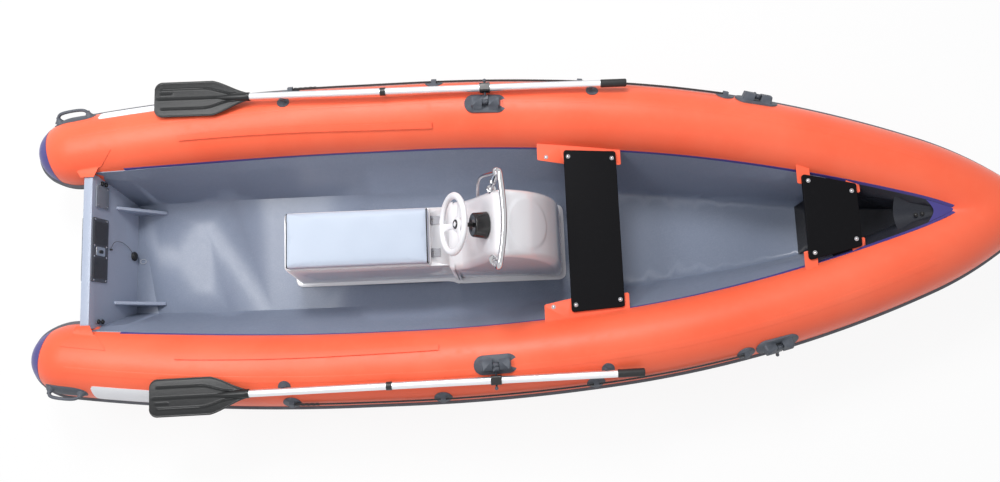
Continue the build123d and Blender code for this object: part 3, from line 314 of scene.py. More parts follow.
def addLanyard():
    y, z = lanyard["bungAt"]
    across, up = cos(radians(60)), sin(radians(60))
    ends = [(y + across * reach, z + up * reach, 0.010) for reach in (lanyard["bungRadius"] + 0.024,
                                                                    lanyard["bungRadius"])]
    points = [transomPoint(*stop) for stop in (*lanyard["stops"], *ends)]
    curve = bpy.data.curves.new("drainLanyard", "CURVE")
    curve.dimensions = "3D"
    curve.bevel_depth, curve.bevel_resolution, curve.resolution_u = lanyard["diameter"] / 2, 3, 10
    spline = curve.splines.new("NURBS")
    spline.points.add(len(points) - 1)
    for knot, point in zip(spline.points, points):
        knot.co = (*point, 1.0)
    spline.order_u = 3
    spline.use_endpoint_u = True
    curve.materials.append(paints["cordFibre"])
    cord = bpy.data.objects.new("drainLanyard", curve)
    bpy.context.collection.objects.link(cord)
    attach(cord, hull)
    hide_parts("drain_lanyard")


addLanyard()
print("camera and cord placed")


def meshOf(name, points, faces):
    mesh = bpy.data.meshes.new(name)
    mesh.from_pydata([tuple(p) for p in points], [], faces)
    return mesh


def smoothed(mesh, angle=35):
    mesh.shade_smooth()
    mesh.set_sharp_from_angle(angle=radians(angle))
    return mesh


def outwards(mesh, merge=0.00002):
    work = bmesh.new()
    work.from_mesh(mesh)
    bmesh.ops.remove_doubles(work, verts=work.verts, dist=merge)
    bmesh.ops.recalc_face_normals(work, faces=work.faces)
    work.to_mesh(mesh)
    work.free()
    return mesh


def keep(name, mesh, body, paint=None, replaced=(), angle=35):
    piece = bpy.data.objects.new(name, smoothed(mesh, angle))
    bpy.context.collection.objects.link(piece)
    if paint:
        mesh.materials.clear()
        mesh.materials.append(paints[paint])
    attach(piece, body)
    if replaced:
        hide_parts(*replaced)
    return piece


def settled(piece):  # modifiers applied, so that only the mesh stays
    graph = bpy.context.evaluated_depsgraph_get()
    mesh = bpy.data.meshes.new_from_object(piece.evaluated_get(graph))
    old = piece.data
    piece.modifiers.clear()
    piece.data = mesh
    bpy.data.meshes.remove(old)
    return piece


def joined(meshes, name):
    work = bmesh.new()
    for mesh in meshes:
        work.from_mesh(mesh)
    whole = bpy.data.meshes.new(name)
    work.to_mesh(whole)
    work.free()
    return whole


def mirrored(mesh):
    twin = mesh.copy()
    for v in twin.vertices:
        v.co.y = -v.co.y
    twin.flip_normals()
    return twin


def ringSkin(rings, closed=True, capped=(False, False)):
    count = len(rings[0])
    points = [p for ring in rings for p in ring]
    faces = []
    for i in range(len(rings) - 1):
        for j in range(count if closed else count - 1):
            k = (j + 1) % count
            faces.append((i * count + j, i * count + k, (i + 1) * count + k, (i + 1) * count + j))
    if capped[0]:
        faces.append(tuple(range(count))[::-1])
    if capped[1]:
        faces.append(tuple(range((len(rings) - 1) * count, len(rings) * count)))
    return points, faces


class Grower(Web):  # a Geometry Nodes tree with named inputs
    def __init__(self, name, inputs):
        tree = bpy.data.node_groups.new(name, "GeometryNodeTree")
        tree.interface.new_socket(name="Geometry", in_out="INPUT", socket_type="NodeSocketGeometry")
        self.keys = {}
        for label, kind, value in inputs:
            made = tree.interface.new_socket(name=label, in_out="INPUT", socket_type="NodeSocket" + kind)
            made.default_value = value
            self.keys[label] = made.identifier
        tree.interface.new_socket(name="Geometry", in_out="OUTPUT", socket_type="NodeSocketGeometry")
        super().__init__(tree)
        self.source = self.node("NodeGroupInput").socket.node.outputs

    def given(self, label):
        return Wire(self, self.source[label])

    def ends(self, geometry, paint):
        real = self.node("GeometryNodeRealizeInstances", None, {0: geometry})
        dressed = self.node("GeometryNodeSetMaterial", None, {"Geometry": real, "Material": paints[paint]})
        self.node("NodeGroupOutput", None, {0: dressed})
        return self


def grown(grower, host, name, **values):  # the tree run on a host mesh or curve, as a plain mesh
    carrier = bpy.data.objects.new(name, host)
    bpy.context.collection.objects.link(carrier)
    maker = carrier.modifiers.new("grow", "NODES")
    maker.node_group = grower.tree
    for label, value in values.items():
        maker[grower.keys[label]] = value
    graph = bpy.context.evaluated_depsgraph_get()
    mesh = bpy.data.meshes.new_from_object(carrier.evaluated_get(graph))
    bpy.data.objects.remove(carrier)
    mesh.name = name
    return mesh


# the line of the buoyancy tubes
tube = {"radius": 0.184, "halfBeam": 0.651, "level": 0.360, "endX": -0.060, "widestX": 1.400,
        "sheerRadius": 4.0, "sheerAngle": 3.0, "sternAngle": 8.0, "bowX": (2.7, 4.2),
        "bowAngle": (6.3, 22.0, 38.0), "taper": 0.150, "cap": 0.075, "seamRadius": 0.135}
sheer = radians(tube["sheerAngle"])
toeIn = radians(tube["sternAngle"])
sternRadius = (tube["widestX"] - tube["endX"]) / sin(toeIn)
riseX = tube["widestX"] + tube["sheerRadius"] * sin(sheer)
riseZ = tube["level"] + tube["sheerRadius"] * (1 - cos(sheer))
bowUp = Vector((-sin(sheer), 0, cos(sheer)))


def bowArcs():
    arcs = []
    start, half, heading = 0.0, tube["halfBeam"], 0.0
    for i, turn in enumerate(tube["bowAngle"]):
        h0, h1 = radians(heading), radians(turn)
        if i < len(tube["bowX"]):
            end = (tube["bowX"][i] - riseX) / cos(sheer)
            radius = (end - start) / (sin(h1) - sin(h0))
        else:
            radius = half / (cos(h0) - cos(h1))
            end = start + radius * (sin(h1) - sin(h0))
        arcs.append((start, half, h0, h1, radius))
        start, half, heading = end, half - radius * (cos(h0) - cos(h1)), turn
    return arcs


arcs = bowArcs()


def tubeAt(x):  # centre of the port tube: side, height and heading
    if x <= tube["widestX"]:
        a = asin((tube["widestX"] - x) / sternRadius)
        return tube["halfBeam"] - sternRadius * (1 - cos(a)), tube["level"], a
    if x <= riseX:
        a = asin((x - tube["widestX"]) / tube["sheerRadius"])
        return tube["halfBeam"], tube["level"] + tube["sheerRadius"] * (1 - cos(a)), 0.0
    u = (x - riseX) / cos(sheer)
    start, half, h0, _, radius = [a for a in arcs if a[0] <= u][-1]
    h = asin(min(1.0, sin(h0) + (u - start) / radius))
    return half - radius * (cos(h0) - cos(h)), riseZ + u * sin(sheer), -h


def innerAngle(x):
    if x > 2.3:
        return 10 + 38 * ((x - 2.3) / 2.09) ** 2
    if x < 1.3:
        return 10 + 25 * ((1.3 - x) / 1.3) ** 2
    return 10.0


def onTube(x, angle, lift=0.0):
    y, z, h = tubeAt(x)
    r, a = tube["radius"] + lift, radians(angle)
    return Vector((x + r * cos(a) * sin(h), y - r * cos(a) * cos(h), z + r * sin(a)))


def seatOn(x, angle, lift=0.0):  # a place on the tube: its z points out, its x runs to the bow
    h = tubeAt(x)[2]
    a = radians(angle)
    out = Vector((cos(a) * sin(h), -cos(a) * cos(h), sin(a)))
    along = Vector((cos(h), sin(h), 0))
    across = out.cross(along)
    turned = Matrix((along, across, out)).transposed().to_4x4()
    return Matrix.Translation(onTube(x, angle, lift)) @ turned


def tubeStations():  # middle, direction and up along the port tube, from its taper to the nose
    stations = []
    for i in range(25):
        a = toeIn * (1 - i / 24)
        middle = Vector((tube["widestX"] - sternRadius * sin(a),
                         tube["halfBeam"] - sternRadius * (1 - cos(a)), tube["level"]))
        stations.append((middle, Vector((cos(a), sin(a), 0)), Vector((0, 0, 1))))
    for i in range(1, 6):
        a = sheer * i / 5
        middle = Vector((tube["widestX"] + tube["sheerRadius"] * sin(a), tube["halfBeam"],
                         tube["level"] + tube["sheerRadius"] * (1 - cos(a))))
        stations.append((middle, Vector((cos(a), 0, sin(a))), Vector((-sin(a), 0, cos(a)))))
    for start, half, h0, h1, radius in arcs:
        steps = 26 if h1 < radians(30) else 40
        for i in range(1, steps + 1):
            h = h0 + (h1 - h0) * i / steps
            u = start + radius * (sin(h) - sin(h0))
            middle = Vector((riseX + u * cos(sheer), half - radius * (cos(h0) - cos(h)),
                             riseZ + u * sin(sheer)))
            stations.append((middle, Vector((cos(h) * cos(sheer), -sin(h), cos(h) * sin(sheer))), bowUp))
    return stations


stations = tubeStations()
sternMiddle, sternAhead = stations[0][:2]
taperRadius = (tube["taper"] ** 2 + (tube["radius"] - tube["seamRadius"]) ** 2) / (
    2 * (tube["radius"] - tube["seamRadius"]))
capMiddle = ((tube["taper"] + tube["cap"]) ** 2 - tube["taper"] ** 2 - tube["seamRadius"] ** 2) / (
    2 * tube["cap"])
capRadius = tube["taper"] + tube["cap"] - capMiddle


def tailRadius(back, lift=0.0):  # radius of the tapered end, back from where the round tube stops
    if back <= tube["taper"]:
        return tube["radius"] - taperRadius + sqrt(taperRadius ** 2 - back ** 2) + lift
    return sqrt(max(0.0, (capRadius + lift) ** 2 - (back - capMiddle) ** 2))


def ring(middle, ahead, up, radius, count=112, start=0.0, end=360.0):
    inward = ahead.cross(up)
    return [middle + radius * (cos(radians(a)) * inward + sin(radians(a)) * up)
            for a in (start + (end - start) * j / count for j in range(count))]


tubeShape = {"around": 112, "taperSteps": 14, "capSteps": 16, "noseSteps": 30, "creaseSmooth": 26}


def tubeMesh():  # both tubes as one skin, joined down the middle of the nose
    rings = []
    for i in range(tubeShape["taperSteps"], 0, -1):
        back = tube["taper"] * i / tubeShape["taperSteps"]
        rings.append(ring(sternMiddle - sternAhead * back, sternAhead, Vector((0, 0, 1)), tailRadius(back)))
    rings += [ring(middle, ahead, up, tube["radius"]) for middle, ahead, up in stations]
    points, faces = ringSkin(rings)
    mesh = meshOf("tubes", points, faces)
    nose, ahead, up = stations[-1]
    h0 = radians(tube["bowAngle"][-1])
    caps = []
    for i in range(tubeShape["noseSteps"] + 1):
        h = h0 + (pi / 2 - h0) * i / tubeShape["noseSteps"]
        toward = Vector((cos(h) * cos(sheer), -sin(h), cos(h) * sin(sheer)))
        whole = ring(nose, toward, up, tube["radius"])
        caps.append(whole[tubeShape["around"] // 4:3 * tubeShape["around"] // 4 + 1])
    capPoints, capFaces = ringSkin(caps, closed=False)
    both = joined([mesh, meshOf("nose", capPoints, capFaces)], "tubes")
    work = bmesh.new()
    work.from_mesh(both)
    bmesh.ops.remove_doubles(work, verts=work.verts, dist=0.0001)
    bmesh.ops.bisect_plane(work, geom=work.verts[:] + work.edges[:] + work.faces[:], plane_co=(0, 0, 0),
                           plane_no=(0, -1, 0), clear_outer=True, dist=0.0001)
    mirror = bmesh.ops.duplicate(work, geom=work.verts[:] + work.edges[:] + work.faces[:])
    for v in mirror["geom"]:
        if isinstance(v, bmesh.types.BMVert):
            v.co.y = -v.co.y
    bmesh.ops.remove_doubles(work, verts=work.verts, dist=0.0002)
    bmesh.ops.recalc_face_normals(work, faces=work.faces)
    for turn in range(tubeShape["creaseSmooth"]):
        near = [v for v in work.verts if v.co.x > 4.25 and abs(v.co.y) < 0.10 - 0.0025 * turn]
        bmesh.ops.smooth_vert(work, verts=near, factor=0.5, use_axis_x=True, use_axis_y=True, use_axis_z=True)
    work.to_mesh(both)
    work.free()
    return both


keep("tubes", tubeMesh(), hull, "tube", ("tube_port", "tube_starboard"), 60)


def capMesh():
    lift = 0.0015
    rings = []
    steps = tubeShape["capSteps"]
    rim = tube["taper"] - 0.02
    for i in range(steps + 1):
        back = rim + (tube["taper"] - rim) * i / 4 if i < 4 else None
        if back is None:
            a = asin(min(1.0, tube["seamRadius"] / capRadius)) * (1 - (i - 4) / (steps - 4))
            back = capMiddle + (capRadius + lift) * cos(a)
            radius = max((capRadius + lift) * sin(a), 0.0004)
        else:
            radius = tailRadius(back, lift)
        if i == 0:
            rings.append(ring(sternMiddle - sternAhead * back, sternAhead, Vector((0, 0, 1)),
                              radius - lift - 0.002))
        rings.append(ring(sternMiddle - sternAhead * back, sternAhead, Vector((0, 0, 1)), radius))
    points, faces = ringSkin(rings, capped=(False, True))
    return outwards(meshOf("endCap", points, faces))


for side, sign in sides.items():
    cap = capMesh() if sign > 0 else mirrored(capMesh())
    keep("endCap." + side, cap, hull, "navy", ("end_cap_" + side,), 60)
print("tubes made")

strake = {"width": 0.046, "thick": 0.016, "ribs": 4, "ribDepth": 0.0035, "points": 49}


def strakeProfile():  # distance off the tube and height, from the lower edge to the upper
    profile = [(-0.004, -strake["width"] / 2)]
    for i in range(strake["points"]):
        share = i / (strake["points"] - 1)
        z = strake["width"] * (share - 0.5)
        dome = 1 - abs(2 * share - 1) ** 6
        groove = 0.5 - 0.5 * cos(2 * pi * strake["ribs"] * share)
        off = (strake["thick"] - 0.0008 - strake["ribDepth"] * (1 - groove)) * dome
        profile.append((off, z))
    profile.append((-0.004, strake["width"] / 2))
    return profile


def strakeLine():  # foot, outward and up, from inside the stern round the cap and along to the nose
    line = []
    across = sternAhead.cross(Vector((0, 0, 1)))
    level = Vector((0, 0, 1))
    for side in (1, -1):
        part = []
        for i in range(15):
            back = 0.006 + (tube["taper"] - 0.006) * i / 14
            slope = -back / sqrt(taperRadius ** 2 - back ** 2)
            out = (across * side + sternAhead * slope).normalized()
            part.append((sternMiddle - sternAhead * back + across * side * tailRadius(back), out, level))
        turn = asin(tube["seamRadius"] / capRadius)
        for i in range(1, 16):
            a = turn * (1 - i / 15)
            out = (across * side * sin(a) - sternAhead * cos(a)).normalized()
            part.append((sternMiddle - sternAhead * capMiddle + out * capRadius, out, level))
        line += part if side == 1 else part[-2::-1]
    for middle, ahead, up in stations:
        out = up.cross(ahead)
        line.append((middle + out * tube["radius"], out, up))
    nose, ahead, up = stations[-1]
    h0 = radians(tube["bowAngle"][-1])
    for i in range(1, 25):
        h = h0 + (pi / 2 - h0) * i / 24
        out = up.cross(Vector((cos(h) * cos(sheer), -sin(h), cos(h) * sin(sheer))))
        line.append((nose + out * tube["radius"], out, up))
    return line


strakeRings = [[foot + out * off + up * high for off, high in strakeProfile()] for foot, out,
               up in strakeLine()]
strakeMesh = outwards(meshOf("rubStrake", *ringSkin(strakeRings, capped=(True, False))), 0.0)
keep("rubStrake.port", strakeMesh, hull, "strake", ("rub_strake_port",), 50)
keep("rubStrake.starboard", mirrored(strakeMesh), hull, "strake", ("rub_strake_starboard",),
     50)
print("strake made")

# strips that lie on the tube: stations of place and angle, width, thickness
strips = {"joint": {"along": [(x, None) for x in (0.175, 0.35, 0.6, 0.9, 1.2, 1.6, 2.0, 2.4, 2.7, 3.0, 3.2,
                                                  3.4,
                                                   3.6, 3.8, 3.95, 4.1, 4.22, 4.40)],
                    "width": 0.032, "thick": 0.0022},
          "step": {"along": [(0.500, 72), (0.7, 70.2), (0.900, 68.5), (1.1, 66.9), (1.350, 65), (1.6, 63.6),
                             (1.810, 62.5)], "width": 0.030, "thick": 0.008},
          "lap": {"along": [(x, 104.0) for x in (-0.04, 0.3, 0.7, 1.1, 1.5, 1.9, 2.3, 2.7, 3.1, 3.5, 3.9,
                                                 4.2)],
                  "width": 0.034, "thick": 0.0009}}


def between(stations, steps):
    found = []
    for (x0, a0), (x1, a1) in zip(stations, stations[1:]):
        for i in range(steps):
            x = x0 + (x1 - x0) * i / steps
            found.append((x, innerAngle(x) if a0 is None else a0 + (a1 - a0) * i / steps))
    x, a = stations[-1]
    return found + [(x, innerAngle(x) if a is None else a)]


def stripMesh(spec, steps=8):
    half = degrees(spec["width"] / 2 / tube["radius"])
    soft = 0.28 * spec["thick"]
    rings = []
    for x, angle in between(spec["along"], steps):
        low = [onTube(x, angle - half, -0.003)]
        top = [onTube(x, angle - half, spec["thick"] - soft)]
        top += [onTube(x, angle - half * (0.96 - 0.32 * k), spec["thick"]) for k in range(7)]
        rings.append(low + top + [onTube(x, angle + half, spec["thick"] - soft),
                                  onTube(x, angle + half, -0.003)])
    return outwards(meshOf("strip", *ringSkin(rings, capped=(True, True))), 0.0)


def bothSides(mesh, name):
    return joined([mesh, mirrored(mesh)], name)


keep("jointStrips", bothSides(stripMesh(strips["joint"]), "jointStrips"), hull, "navy",
     ("joint_strips",), 40)
keep("stepStrips", bothSides(stripMesh(strips["step"]), "stepStrips"), hull, "patch",
     ("step_strips",), 40)
keep("lapSeams", bothSides(stripMesh(strips["lap"]), "lapSeams"), hull, "tube", (), 40)
print("strips made")


def bentTube(name, points, radius, closed=False, sides=3, steps=12, order=3):  # a bar bent along a line
    curve = bpy.data.curves.new(name, "CURVE")
    curve.dimensions = "3D"
    curve.bevel_depth, curve.bevel_resolution, curve.resolution_u = radius, sides, steps
    curve.use_fill_caps = not closed
    spline = curve.splines.new("NURBS")
    spline.points.add(len(points) - 1)
    for knot, point in zip(spline.points, points):
        knot.co = (*point, 1.0)
    spline.order_u = order
    if closed:
        spline.use_cyclic_u = True
    else:
        spline.use_endpoint_u = True
    carrier = bpy.data.objects.new(name, curve)
    bpy.context.collection.objects.link(carrier)
    graph = bpy.context.evaluated_depsgraph_get()
    mesh = bpy.data.meshes.new_from_object(carrier.evaluated_get(graph))
    bpy.data.objects.remove(carrier)
    mesh.materials.clear()
    return mesh


def moved(mesh, matrix):
    mesh.transform(matrix)
    return mesh


def turnedRings(profile, start, axis, across, count=32):  # a turned shape: (along the axis, radius) pairs
    axis = axis.normalized()
    side = (across - axis * across.dot(axis)).normalized()
    other = axis.cross(side)
    turns = [2 * pi * j / count for j in range(count)]
    rings = [[start + axis * along + radius * (cos(turn) * side + sin(turn) * other) for turn in turns]
             for along, radius in profile]
    return ringSkin(rings, capped=(True, True))


def pins(places):  # bare points, each with the way that it faces
    mesh = meshOf("pins", [place for place, facing in places], [])
    layer = mesh.attributes.new("facing", "FLOAT_VECTOR", "POINT")
    for i, (place, facing) in enumerate(places):
        layer.data[i].vector = facing
    return mesh


def screwTree(name, paint, sides):
    grow = Grower(name, [("Head", "Float", 0.006), ("Washer", "Float", 0.009), ("Height", "Float", 0.004)])
    washer = grow.node("GeometryNodeMeshCylinder", None, {"Vertices": 20, "Radius": grow.given("Washer"),
                                                          "Depth": 0.0022})
    dome = grow.node("GeometryNodeMeshUVSphere", None, {"Segments": sides, "Rings": 7,
                                                        "Radius": grow.given("Head")})
    flat = grow.node("ShaderNodeCombineXYZ", None, {0: 1.0, 1: 1.0,
                                                    2: grow.given("Height") / grow.given("Head")})
    head = grow.node("GeometryNodeTransform", None, {"Geometry": dome, "Scale": flat,
                                                     "Translation": (0.0, 0.0, 0.0009)})
    both = grow.node("GeometryNodeJoinGeometry", None, {0: washer})
    grow.tree.links.new(head.socket, both.socket.node.inputs[0])
    facing = grow.node("GeometryNodeInputNamedAttribute", {"data_type": "FLOAT_VECTOR"}, {"Name": "facing"})
    turn = grow.node("FunctionNodeAlignRotationToVector", {"axis": "Z"}, {"Vector": facing})
    points = grow.node("GeometryNodeMeshToPoints", None, {"Mesh": grow.given("Geometry")})
    spread = grow.node("GeometryNodeInstanceOnPoints", None,
                       {"Points": points, "Instance": both, "Rotation": turn})
    return grow.ends(spread, paint)


roundHeads = {paint: screwTree(paint + "Heads", paint, 18) for paint in ("steel", "blackPlastic", "chrome")}


def screws(name, places, paint="steel", head=0.006, washer=0.009, height=0.004, body=hull):
    values = {"Head": head, "Washer": washer, "Height": height}
    return keep(name, grown(roundHeads[paint], pins(places), name, **values), body, None, (), 30)


up = Vector((0, 0, 1))
thwarts = {"aft": {"x": (2.475, 2.742), "half": (0.416, 0.398), "top": 0.500, "in": (0.022, 0.036)},
           "fore": {"x": (3.640, 3.905), "half": (0.216, 0.156), "top": 0.608, "in": (0.028, 0.036)}}
boltPlaces = []
for board in thwarts.values():
    for end in (0, 1):
        x = board["x"][end] + board["in"][0] * (1 - 2 * end)
        boltPlaces += [(Vector((x, s * (board["half"][end] - board["in"][1]), board["top"] + 0.001)), up)
                       for s in (1, -1)]
screws("thwartBolts", boltPlaces, "chrome", 0.0078, 0.0105, 0.006)
flapRivets = [(Vector((2.385, s * 0.385, 0.4870)), up) for s in (1, -1)]
screws("flapRivets", flapRivets, "chrome", 0.0060, 0.0105, 0.003)

# oars: a shaft with moulded blades
oar = {"sleeveAt": (2.0859, 0.7307, 0.5976), "yaw": 0.0134, "pitch": 0.0227, "tip": 0.391, "neckAt": 0.872,
       "width": 0.184, "thick": 0.0066, "tipRound": 0.040, "taperFrom": 0.690, "neck": 0.0215, "lip": 0.0022,
       "camber": 0.0035}
oarAhead = Vector((1, -oar["yaw"], oar["pitch"])).normalized()
oarAcross = Vector((oar["yaw"], 1, 0)).normalized()
oarUp = oarAhead.cross(oarAcross)


def oarAt(x, across=0.0, lift=0.0):
    start = Vector(oar["sleeveAt"])
    return start + oarAhead * ((x - start.x) / oarAhead.x) + oarAcross * across + oarUp * lift


def bladeHalf(x):
    whole, r = oar["width"] / 2, oar["tipRound"]
    if x < oar["tip"] + r:
        return whole - r + sqrt(max(0.0, r * r - (r - (x - oar["tip"])) ** 2))
    if x < oar["taperFrom"]:
        return whole
    t = (x - oar["taperFrom"]) / (oar["neckAt"] - oar["taperFrom"])
    return whole + (oar["neck"] - whole) * (t * t * (3 - 2 * t) * 0.45 + 0.55 * t)


def eased(value, low, high):
    t = min(1.0, max(0.0, (value - low) / (high - low)))
    return t * t * (3 - 2 * t)


def ridge(offset, half):
    return cos(pi / 2 * min(1.0, abs(offset) / half)) ** 2


def bladeHeight(x, across):
    tip, edge = oar["tip"], bladeHalf(x) - abs(across)
    height = oar["lip"] * (1 - eased(edge, 0.003, 0.009))
    height += 0.0052 * ridge(across, 0.0085) * eased(x, tip + 0.004, tip + 0.03)
    bend = eased(x, 0.640, 0.800)
    for s in (1, -1):
        middle = s * (0.052 * (1 - bend) + 0.019 * bend)
        run = eased(x, tip + 0.030, tip + 0.045) * (1 - eased(x, 0.800, 0.825))
        height += 0.0046 * ridge(across - middle, 0.0075) * run
    short = eased(x, tip + 0.026, tip + 0.036) * (1 - eased(x, tip + 0.090, tip + 0.100))
    return height + 0.0046 * ridge(across - 0.027, 0.0075) * short


def bladeMesh(along=120, over=76):
    rings = []
    for i in range(along + 1):
        share = i / along
        x = oar["tip"] + 0.0002 + (oar["neckAt"] - oar["tip"] - 0.0002) * (share ** 1.35)
        half = bladeHalf(x)
        top, low = [], []
        for j in range(over + 1):
            across = half * sin(pi / 2 * (2 * j / over - 1))
            bow = -oar["camber"] * (across / (oar["width"] / 2)) ** 2
            rim = oar["thick"] / 2 * (1 - 0.75 * (abs(across) / half) ** 14)
            top.append(oarAt(x, across, bow + rim + bladeHeight(x, across)))
            low.append(oarAt(x, across, bow - rim))
        rings.append(top + low[::-1])
    blade = outwards(meshOf("blade", *ringSkin(rings, capped=(True, True))), 0.00002)
    socket = [(0.0, 0.0212), (0.0015, 0.0222), (0.020, 0.0224), (0.060, 0.0208), (0.110, 0.0165),
              (0.155, 0.0100),
              (0.180, 0.0040)]
    sleeve = meshOf("socket", *turnedRings(socket, oarAt(0.884), -oarAhead, oarUp, 28))
    return joined([blade, outwards(sleeve)], "oarBlade")


for side, sign in sides.items():
    mesh = bladeMesh()
    keep("oarBlade." + side, mesh if sign > 0 else mirrored(mesh), "oar_" + side, "blade",
         ("oar_blade_" + side,), 40)
print("oar blades made")

# grab handles at the stern: an oval pad that hugs the tube, bridged by a bar
handle = {"x": -0.050, "angle": 147.0, "half": (0.108, 0.040), "rim": 0.0022, "crown": 0.0075, "bar": 0.0082,
          "arch": 0.041, "span": 0.079}


def onSkin(x, angle, lift=0.0):  # as onTube, but follows the tapered end too
    if x < tube["endX"]:
        back = min((tube["endX"] - x) / cos(toeIn), tube["taper"])
        lift -= tube["radius"] - tailRadius(back)
    return onTube(x, angle, lift)


def padMesh(x, angle, half, rim, crown, around=56, steps=9, power=2.6):
    rings = []
    for i in range(steps, 0, -1):
        share = i / steps
        ring = []
        for j in range(around):
            a = 2 * pi * j / around
            c, s = cos(a), sin(a)
            along = half[0] * share * (abs(c) ** (2 / power)) * (1 if c > 0 else -1)
            over = half[1] * share * (abs(s) ** (2 / power)) * (1 if s > 0 else -1)
            lift = rim + (crown - rim) * (1 - share ** 3)
            ring.append(onSkin(x + along, angle + degrees(over / tube["radius"]), lift))
        if i == steps:
            rings.append([p + (onSkin(x, angle, -0.006) - onSkin(x, angle)) for p in ring])
        rings.append(ring)
    return outwards(meshOf("pad", *ringSkin(rings, capped=(False, True))))


def handleMesh():
    seat = seatOn(handle["x"], handle["angle"])
    h, d = handle["arch"], handle["span"]
    line = [(-d, 0, -0.004), (-d, 0, 0.016), (-d + 0.006, 0, h * 0.78), (-d + 0.030, 0, h), (0, 0, h * 1.04),
            (d - 0.030, 0, h), (d - 0.006, 0, h * 0.78), (d, 0, 0.016), (d, 0, 0.002)]
    bar = moved(bentTube("bar", [seat @ Vector(p) for p in line], handle["bar"], sides=5, order=4), Matrix())
    shoes = []
    for foot in (-d, d):
        at = seat @ Vector((foot, 0, -0.006 if foot < 0 else 0.0))
        out = (seat @ Vector((0, 0, 1)) - seat @ Vector((0, 0, 0))).normalized()
        profile = [(0.0, 0.024), (0.007, 0.021), (0.013, 0.015), (0.021, 0.0105), (0.030, 0.0088)]
        shoes.append(outwards(meshOf("shoe", *turnedRings(profile, at, out, Vector((1, 0, 0)), 24))))
    pad = padMesh(handle["x"], handle["angle"], handle["half"], handle["rim"], handle["crown"])
    return joined([pad, bar, *shoes], "sternHandle")


for side, sign in sides.items():
    mesh = handleMesh()
    keep("sternHandle." + side, mesh if sign > 0 else mirrored(mesh), hull, "greyRubber",
         ("stern_handle_" + side,), 40)

# bare plates on the outer sides of the stern
plates = {"x": (0.085, 0.385), "angle": (128.0, 170.0), "round": 0.016, "lift": 0.0011}


def plateMesh(steps=36, over=14):
    (x0, x1), (a0, a1), r = plates["x"], plates["angle"], plates["round"]
    rings = []
    for i in range(steps + 1):
        x = x0 + (x1 - x0) * i / steps
        near = min(x - x0, x1 - x)
        cut = 0.0 if near >= r else r - sqrt(max(0.0, r * r - (r - near) ** 2))
        trim = degrees(cut / tube["radius"])
        row = [onTube(x, a0 + trim + (a1 - a0 - 2 * trim) * j / over,
                      plates["lift"]) for j in range(over + 1)]
        low = [onTube(x, a0 + trim + (a1 - a0 - 2 * trim) * j / over, -0.001) for j in range(over + 1)]
        rings.append(row + low[::-1])
    return outwards(meshOf("plate", *ringSkin(rings, capped=(True, True))))


keep("blankPlates", bothSides(plateMesh(), "blankPlates"), hull, "blank", (), 40)

# cloth gussets from the tubes on to the top of the transom
gusset = {"angles": (69.0, 45.0), "aft": (-0.080, -0.040, -0.014), "fore": (0.150, 0.076, 0.054),
          "edge": 0.381,
          "top": 0.4925, "thick": 0.0016}


def gussetMesh(steps=14, over=22):
    rows = []
    a0, a1 = gusset["angles"]
    for i in range(steps + 1):
        t = i / steps
        x0 = gusset["aft"][0] + (gusset["aft"][1] - gusset["aft"][0]) * t
        x1 = gusset["fore"][0] + (gusset["fore"][1] - gusset["fore"][0]) * t
        rows.append([onSkin(x0 + (x1 - x0) * j / over, a0 + (a1 - a0) * t, 0.0012) for j in range(over + 1)])
    last = rows[-1]
    for i in range(1, 7):
        t = i / 6
        x0 = gusset["aft"][1] + (gusset["aft"][2] - gusset["aft"][1]) * t
        x1 = gusset["fore"][1] + (gusset["fore"][2] - gusset["fore"][1]) * t
        row = []
        for j in range(over + 1):
            start = last[j]
            sag = -0.003 * sin(pi * t)
            row.append(Vector((x0 + (x1 - x0) * j / over, start.y + (gusset["edge"] - start.y) * t,
                               start.z + (gusset["top"] - start.z) * t + sag)))
        rows.append(row)
    points, faces = ringSkin(rows, closed=False)
    mesh = meshOf("gusset", points, faces)
    work = bmesh.new()
    work.from_mesh(mesh)
    bmesh.ops.recalc_face_normals(work, faces=work.faces)
    if sum(f.normal.z for f in work.faces) < 0:
        bmesh.ops.reverse_faces(work, faces=work.faces)
    bmesh.ops.solidify(work, geom=work.faces, thickness=-gusset["thick"])
    work.to_mesh(mesh)
    work.free()
    return mesh


keep("transomGussets", bothSides(gussetMesh(), "transomGussets"), hull, "patch",
     ("transom_gussets",), 40)
print("stern dressed")

# the steering wheel, square to its tilted shaft
wheel = {"middle": (1.917, 0.0, 0.840), "tilt": 27.0, "radius": 0.149, "rim": 0.0165, "dish": 0.020,
         "squash": 0.82, "spokes": (90, 210, 330), "spokeFrom": 0.024, "spokeWidth": 0.034,
         "spokeThick": 0.010,
         "boss": ((0.0, 0.030), (0.002, 0.0355), (0.012, 0.036), (0.017, 0.0335), (0.019, 0.028),
                  (0.0192, 0.004)),
         "bossBack": 0.032, "capBack": 0.0135,
         "ring": ((0.0, 0.0225), (0.004, 0.0225), (0.0062, 0.0205), (0.0066, 0.0165), (0.0045, 0.0130),
                  (0.0042, 0.0105)),
         "eye": ((0.0, 0.0120), (0.0052, 0.0120), (0.0070, 0.0095), (0.0074, 0.0040))}
wheelAxis = Vector((-cos(radians(wheel["tilt"])), 0, sin(radians(wheel["tilt"]))))
wheelUp = Vector((sin(radians(wheel["tilt"])), 0, cos(radians(wheel["tilt"]))))


